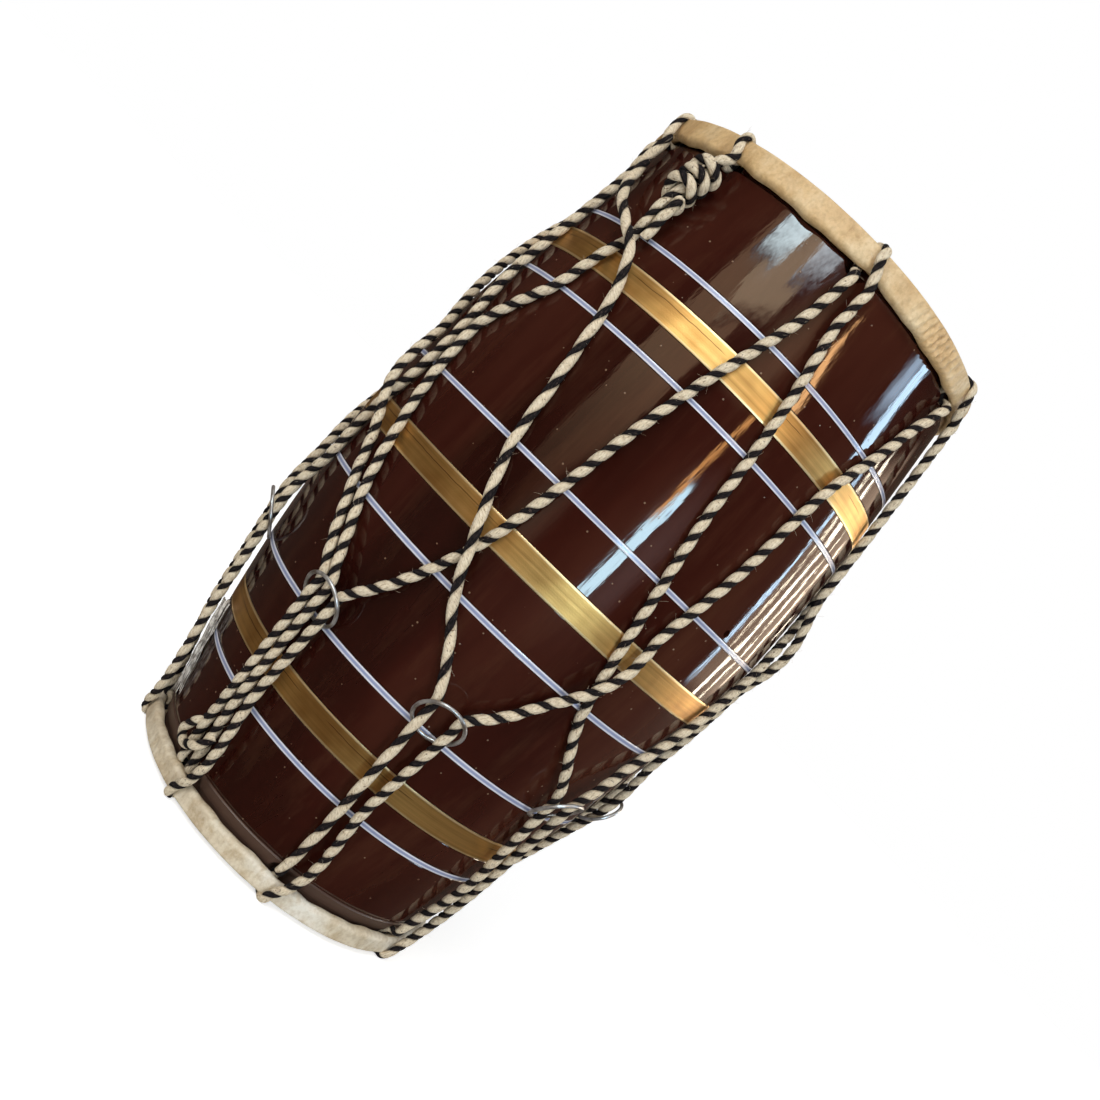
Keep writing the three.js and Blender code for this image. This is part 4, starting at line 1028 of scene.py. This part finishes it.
def creases_of(head, at_bass, holes, fold_height, seed):
    """How a skin's rows are moved: fine folds down its band in patches, slow waves of the band
    and the hem, and a dent where each loop of rope presses the rim. The bass skin has one patch
    that is creased more than the rest."""
    def creased(angle, radius, z):
        turn = np.radians(angle)
        depth = drum_length - z if at_bass else z
        outer = ease((radius - head.middle) / 2.5)
        hem = ease((depth - head.lap_depth * 0.5) / (head.lap_depth * 0.6))
        waves = (np.sin(9 * turn + seed) + 0.7 * np.sin(23 * turn + 2 * seed)
                 + 0.5 * np.sin(41 * turn + seed)) / 2.2
        folds = (np.sin(150 * turn + 3 * np.sin(11 * turn) + depth * 0.35)
                 + 0.6 * np.sin(263 * turn + 2 * np.sin(7 * turn + 1) - depth * 0.5))
        patch = 0.5 + 0.5 * np.sin(3 * turn + seed) * np.sin(5 * turn + 2.2 * seed)
        if at_bass:
            patch = 0.25 * patch + 1.3 * np.exp(-(short_way(angle, patch_angle) / patch_width)**2)
        pull = sum(np.exp(-(short_way(angle, sum(hole) / 2) / dent_width)**2)
                   for hole in holes.values())
        radius = radius + outer * (0.22 * waves + fold_height * patch * folds * ease(depth / 2)
                                   + hem * (0.7 + 0.5 * waves - 1.2 * pull))
        depth = depth + hem * (waves - 1.5 * pull)
        return radius, (drum_length - depth if at_bass else depth)

    return creased


def goat_skin(name, tones, crinkle_scale, crinkle_height):
    """Dried goat skin: mottled, with pores, and with painted shade in its creases."""
    hide, tree, shader = finish(name, roughness=0.5)
    place = object_place(tree)
    mottle = ramp(tree, noise(tree, place, 26.0, 6.0, 0.6),
                  [(at, colour(*tint)) for at, tint in zip((0.28, 0.5, 0.72), tones)])
    pores = ramp(tree, noise(tree, place, 420.0, 3.0, 0.6), [(0.3, (0.8, 0.76, 0.7, 1)),
                                                             (0.55, (1, 1, 1, 1))])
    crinkle = noise(tree, place, crinkle_scale, 7.0, 0.72, (1, 1, 0.6))
    # Painted shade: the skin's colour is darkened where the crinkle pattern dips, in its creases.
    painted_crease_shade = ramp(tree, crinkle, [(0.36, (0.84, 0.78, 0.69, 1)), (0.5, (1, 1, 1, 1))])
    porous = mixed(tree, 0.8, mottle, pores, "MULTIPLY")
    join(tree, shader, {"Base Color": mixed(tree, 1.0, porous, painted_crease_shade, "MULTIPLY"),
                        "Normal": bump(tree, crinkle, 0.7, crinkle_height)})
    return hide


treble_tones = ((194, 172, 138), (228, 214, 188), (246, 240, 226))
bass_tones = ((186, 146, 94), (216, 182, 130), (234, 212, 172))
for node, outline, creased, hide in (
        ("treble_skin", skin_outline(treble), creases_of(treble, False, treble_holes, 0.2, 7.0),
         goat_skin("treble_goat_skin", treble_tones, 110.0, 0.0018)),
        ("bass_skin", (skin_outline(bass) * flipped + from_bass)[::-1],
         creases_of(bass, True, bass_holes, 0.7, 3.0),
         goat_skin("bass_goat_skin", bass_tones, 75.0, 0.003))):
    skin = turned(node.replace("skin", "parchment"), outline, 720, "drum", creased, 60.0)
    skin.data.materials.append(hide)
    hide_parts(node)

# The tuning rings: loops of steel wire, each leaning on its pair of ropes with its bass side
# over them and its treble side under them. It slides along them to tune the drum.
ring_steps, wire_sides = 72, 14


def ring_points(hole):
    """A ring as a torus, leaning outwards from its pair of runs by the ring's tilt."""
    at_top, at_bottom = pair_angles[hole]
    top = polar(barrel_radius(pair_top) + pair_lift, at_top, pair_top)
    bottom = polar(barrel_radius(pair_bottom) + pair_lift, at_bottom, pair_bottom)
    up = (top - bottom) / np.linalg.norm(top - bottom)
    across = polar(1.0, (at_top + at_bottom) / 2 + 90, 0.0)
    across -= across.dot(up) * up
    across /= np.linalg.norm(across)
    out = np.cross(up, across)
    out *= np.sign(out.dot(polar(1.0, at_top, 0.0)))
    tilt = np.radians(ring_tilt)
    lean = up * np.cos(tilt) + out * np.sin(tilt)
    share = (ring_height - pair_bottom) / (pair_top - pair_bottom)
    u, v = np.meshgrid(np.arange(ring_steps) * 2 * np.pi / ring_steps,
                       np.arange(wire_sides) * 2 * np.pi / wire_sides, indexing="ij")
    way = np.cos(u)[..., None] * across + np.sin(u)[..., None] * lean
    thick = ring_wire / 2
    return (bottom + share * (top - bottom) + way * (ring_radius + thick * np.cos(v))[..., None]
            + np.cross(lean, across) * (thick * np.sin(v))[..., None])


steel, tree, shader = finish("steel_wire", metallic=0.7, roughness=0.34)
join(tree, shader, {"Base Color": ramp(tree, noise(tree, object_place(tree), 160.0, 4.0), [
    (0.35, colour(128, 116, 104)), (0.6, colour(204, 200, 196))])})
quads, row, column = grid_faces(ring_steps, wire_sides, True)
ring_uv = np.stack([column / wire_sides, row / ring_steps], axis=-1).reshape(-1, 2)
for hole in pair_angles:
    number = hole[1]
    ring = make_piece(f"wire_ring_{number}", ring_points(hole), quads.tolist(), ring_uv,
                      f"ring_{number}", 180.0)
    ring.data.materials.append(steel)
    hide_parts(f"tuning_ring_{number}")

# Floor, walls and lamps of the studio. The floor and the world are white to the camera and in
# reflections, and dark and bright cards stand round the drum, seen only in its gloss.


def studio_piece(name, points, faces, material, uv=None):
    """A mesh of the studio, in metres, that isn't part of the drum."""
    mesh = bpy.data.meshes.new(name)
    mesh.from_pydata(np.asarray(points, float).reshape(-1, 3).tolist(), [], faces)
    if uv is not None:
        mesh.uv_layers.new(name="UVMap").uv.foreach_set("vector", np.asarray(uv, float).ravel())
    mesh.materials.append(material)
    piece = bpy.data.objects.new(name, mesh)
    bpy.context.scene.collection.objects.link(piece)
    return piece


def seen_directly(tree):
    """One on rays that come from the camera, a reflection or glass, and zero on the others."""
    path = wire(tree, "ShaderNodeLightPath", {}).outputs
    seen = calculated(tree, "MAXIMUM", path["Is Camera Ray"], path["Is Glossy Ray"])
    return calculated(tree, "MAXIMUM", seen, path["Is Transmission Ray"])


floor_radius, floor_sides, floor_glow = 8, 64, 0.65
paper, tree, shader = finish("white_paper", roughness=0.9, base_color=(0.8, 0.8, 0.8, 1.0),
                             emission_color=(1, 1, 1, 1))
glow = calculated(tree, "MULTIPLY", seen_directly(tree), floor_glow)
join(tree, shader, {"Emission Strength": glow})
turn = np.linspace(0, 2 * np.pi, floor_sides, endpoint=False)
floor_edge = np.stack([floor_radius * np.cos(turn), floor_radius * np.sin(turn),
                       np.zeros(floor_sides)], axis=1)
studio_piece("floor", floor_edge, [list(range(floor_sides))], paper)

world = bpy.data.worlds.new("studio")
bpy.context.scene.world = world
world.use_nodes = True
background = world.node_tree.nodes["Background"]
level = wire(world.node_tree, "ShaderNodeMapRange", {"Value": seen_directly(world.node_tree),
                                                     "To Min": 0.42, "To Max": 1.0})
join(world.node_tree, background, {"Strength": level.outputs[0], "Color": (1, 1, 1, 1)})


def studio_card(name, points, faces, material, uv=None):
    """A card of the studio that only a gloss shows."""
    card = studio_piece(name, points, faces, material, uv)
    card.visible_camera = card.visible_diffuse = False
    card.visible_shadow = card.visible_transmission = False


wall_radius, wall_height, wall_sides = 2.6, 3.4, 72
dark_card, tree, shader = finish("dark_card", roughness=1.0, base_color=(0.02, 0.015, 0.012, 1.0),
                                 emission_color=(1.0, 0.66, 0.44, 1), emission_strength=0.055)
turn = np.linspace(0, 2 * np.pi, wall_sides + 1)
wall_foot = np.stack([wall_radius * np.sin(turn), -wall_radius * np.cos(turn),
                      np.full(wall_sides + 1, 0.001)], axis=1)
wall_quads = [[k, k + 1, k + wall_sides + 2, k + wall_sides + 1] for k in range(wall_sides)]
studio_card("wall_card", [wall_foot, wall_foot + (0, 0, wall_height)], wall_quads, dark_card)
studio_card("floor_card", wall_foot[:-1], [list(range(wall_sides))], dark_card)
drum_middle = Vector((0.0, 0.0, 0.25))
lamp_distance, backdrop_distance = 2.3, 2.42


def facing(azimuth, elevation, distance, lean):
    """The place and turn of a lamp or card that faces the drum from an azimuth, zero being -Y."""
    a, e = np.radians(azimuth), np.radians(elevation)
    way = Vector((np.sin(a) * np.cos(e), -np.cos(a) * np.cos(e), np.sin(e)))
    turn = way.to_track_quat("Z", "Y") @ Quaternion((0, 0, 1), np.radians(lean))
    return Matrix.LocRotScale(drum_middle + way * distance, turn, None)


def softbox(name, azimuth, elevation, width, height, radiance, tint):
    """A lamp of an even brightness for the light that spreads; the gloss shows the cards."""
    data = bpy.data.lights.new(name, "AREA")
    data.shape = "RECTANGLE"
    data.size, data.size_y = width, height
    data.energy = radiance * 4 * width * height
    data.color = tint
    lamp = bpy.data.objects.new(name, data)
    bpy.context.scene.collection.objects.link(lamp)
    lamp.matrix_world = facing(azimuth, elevation, lamp_distance, 0.0)
    lamp.visible_glossy = False


def bright_card(name, azimuth, elevation, width, height, radiance, tint, lean=0.0,
                side=0.3, low=0.2, high=0.2, distance=lamp_distance):
    """A glowing card that fades out over a share of its width at its sides, and over shares of
    its height at its low end and its high end."""
    glow, tree, shader = finish(name, roughness=1.0, base_color=(0, 0, 0, 1),
                                specular_ior_level=0.0, emission_strength=radiance)
    uv = uv_parts(tree)
    dark, shown = (0, 0, 0, 1), (*tint, 1.0)
    across = ramp(tree, uv["X"], [(0.0, dark), (side, shown), (1.0 - side, shown), (1.0, dark)])
    upward = mask(tree, uv["Y"], [(0.0, 0), (low, 1), (1.0 - high, 1), (1.0, 0)])
    join(tree, shader, {"Emission Color": mixed(tree, 1.0, across, upward, "MULTIPLY")})
    at = facing(azimuth, elevation, distance, lean)
    corners = [at @ Vector((x * width / 2, y * height / 2, 0))
               for x, y in ((-1, -1), (1, -1), (1, 1), (-1, 1))]
    studio_card(name, corners, [[0, 1, 2, 3]], glow, [(0, 0), (1, 0), (1, 1), (0, 1)])


softbox("window_lamp", 25.5, 7.5, 0.4, 0.95, 10.0, (0.86, 0.94, 1.0))
softbox("upper_lamp", -23.5, 40.0, 1.2, 0.9, 5.0, (1.0, 0.97, 0.93))

# Each card's azimuth, elevation, width, height, radiance and tint, then its lean and the shares
# over which it fades at its sides, its low end and its high end.
for card in (
        ("window", 25.6, 2.5, 0.24, 0.96, 38.0, (0.44, 0.74, 1.0), -5.0, 0.04, 0.05, 0.05),
        ("window_glow", 35.0, 2.0, 0.7, 1.3, 1.1, (0.8, 0.74, 0.86), -5.0, 0.4, 0.3, 0.3),
        ("upper_window", -22.0, 38.4, 0.82, 0.3, 30.0, (0.58, 0.82, 1.0), 0.0, 0.1, 0.25, 0.05),
        ("upper_window_side", -5.0, 38.6, 1.1, 0.27, 20.0, (0.6, 0.8, 1.0), 5.0, 0.15, 0.3, 0.05),
        ("upper_pane", -13.0, 34.8, 0.9, 0.34, 5.0, (1.0, 0.88, 0.66), 9.0, 0.06, 0.2, 0.3),
        ("upper_wall", -23.5, 22.0, 1.0, 1.5, 2.5, (0.95, 0.72, 0.5), 0.0, 0.04, 0.5, 0.1),
        ("left_wall", -14.0, -4.0, 0.9, 1.3, 0.9, (0.9, 0.76, 0.6), 0.0, 0.4, 0.4, 0.4),
        ("right_window", 90.0, 27.5, 0.28, 0.46, 24.0, (0.46, 0.72, 1.0), 0.0, 0.15, 0.3, 0.1),
        ("right_window_top", 83.0, 31.0, 0.44, 0.26, 12.0, (0.46, 0.7, 1.0), 0.0, 0.4, 0.4, 0.1),
        ("blind_0", 102.0, 10.0, 0.08, 1.15, 20.0, (0.5, 0.74, 1.0), 0.0, 0.1, 0.08, 0.08),
        ("blind_1", 108.0, 14.5, 0.045, 1.02, 24.0, (1.0, 0.92, 0.74), 0.0, 0.1, 0.08, 0.08),
        ("blind_2", 115.0, 8.0, 0.08, 1.32, 30.0, (1.0, 0.94, 0.78), 0.0, 0.1, 0.08, 0.08),
        ("blind_3", 123.0, 5.5, 0.045, 0.94, 22.0, (1.0, 0.9, 0.72), 0.0, 0.1, 0.08, 0.08),
        ("blind_4", 132.0, 6.5, 0.05, 0.69, 16.0, (1.0, 0.84, 0.64), 0.0, 0.1, 0.08, 0.08),
        ("blind_5", 145.0, 6.5, 0.05, 0.52, 9.0, (1.0, 0.88, 0.7), 0.0, 0.1, 0.08, 0.08),
        ("blinds_wall", 119.0, 9.0, 1.7, 1.25, 1.8, (1.0, 0.76, 0.56), 0.0, 0.12, 0.12, 0.12,
         backdrop_distance),
        ("warm_wall", 14.0, 31.0, 0.9, 0.5, 1.2, (1.0, 0.82, 0.58), 0.0, 0.3, 0.3, 0.3),
        ("tube_high", 38.6, 31.0, 0.13, 0.4, 24.0, (1.0, 0.62, 0.3), 44.0, 0.2, 0.1, 0.1),
        ("tube_low", 25.9, 18.0, 0.1, 0.66, 18.0, (1.0, 0.54, 0.2), -12.0, 0.3, 0.05, 0.05)):
    bright_card(*card)
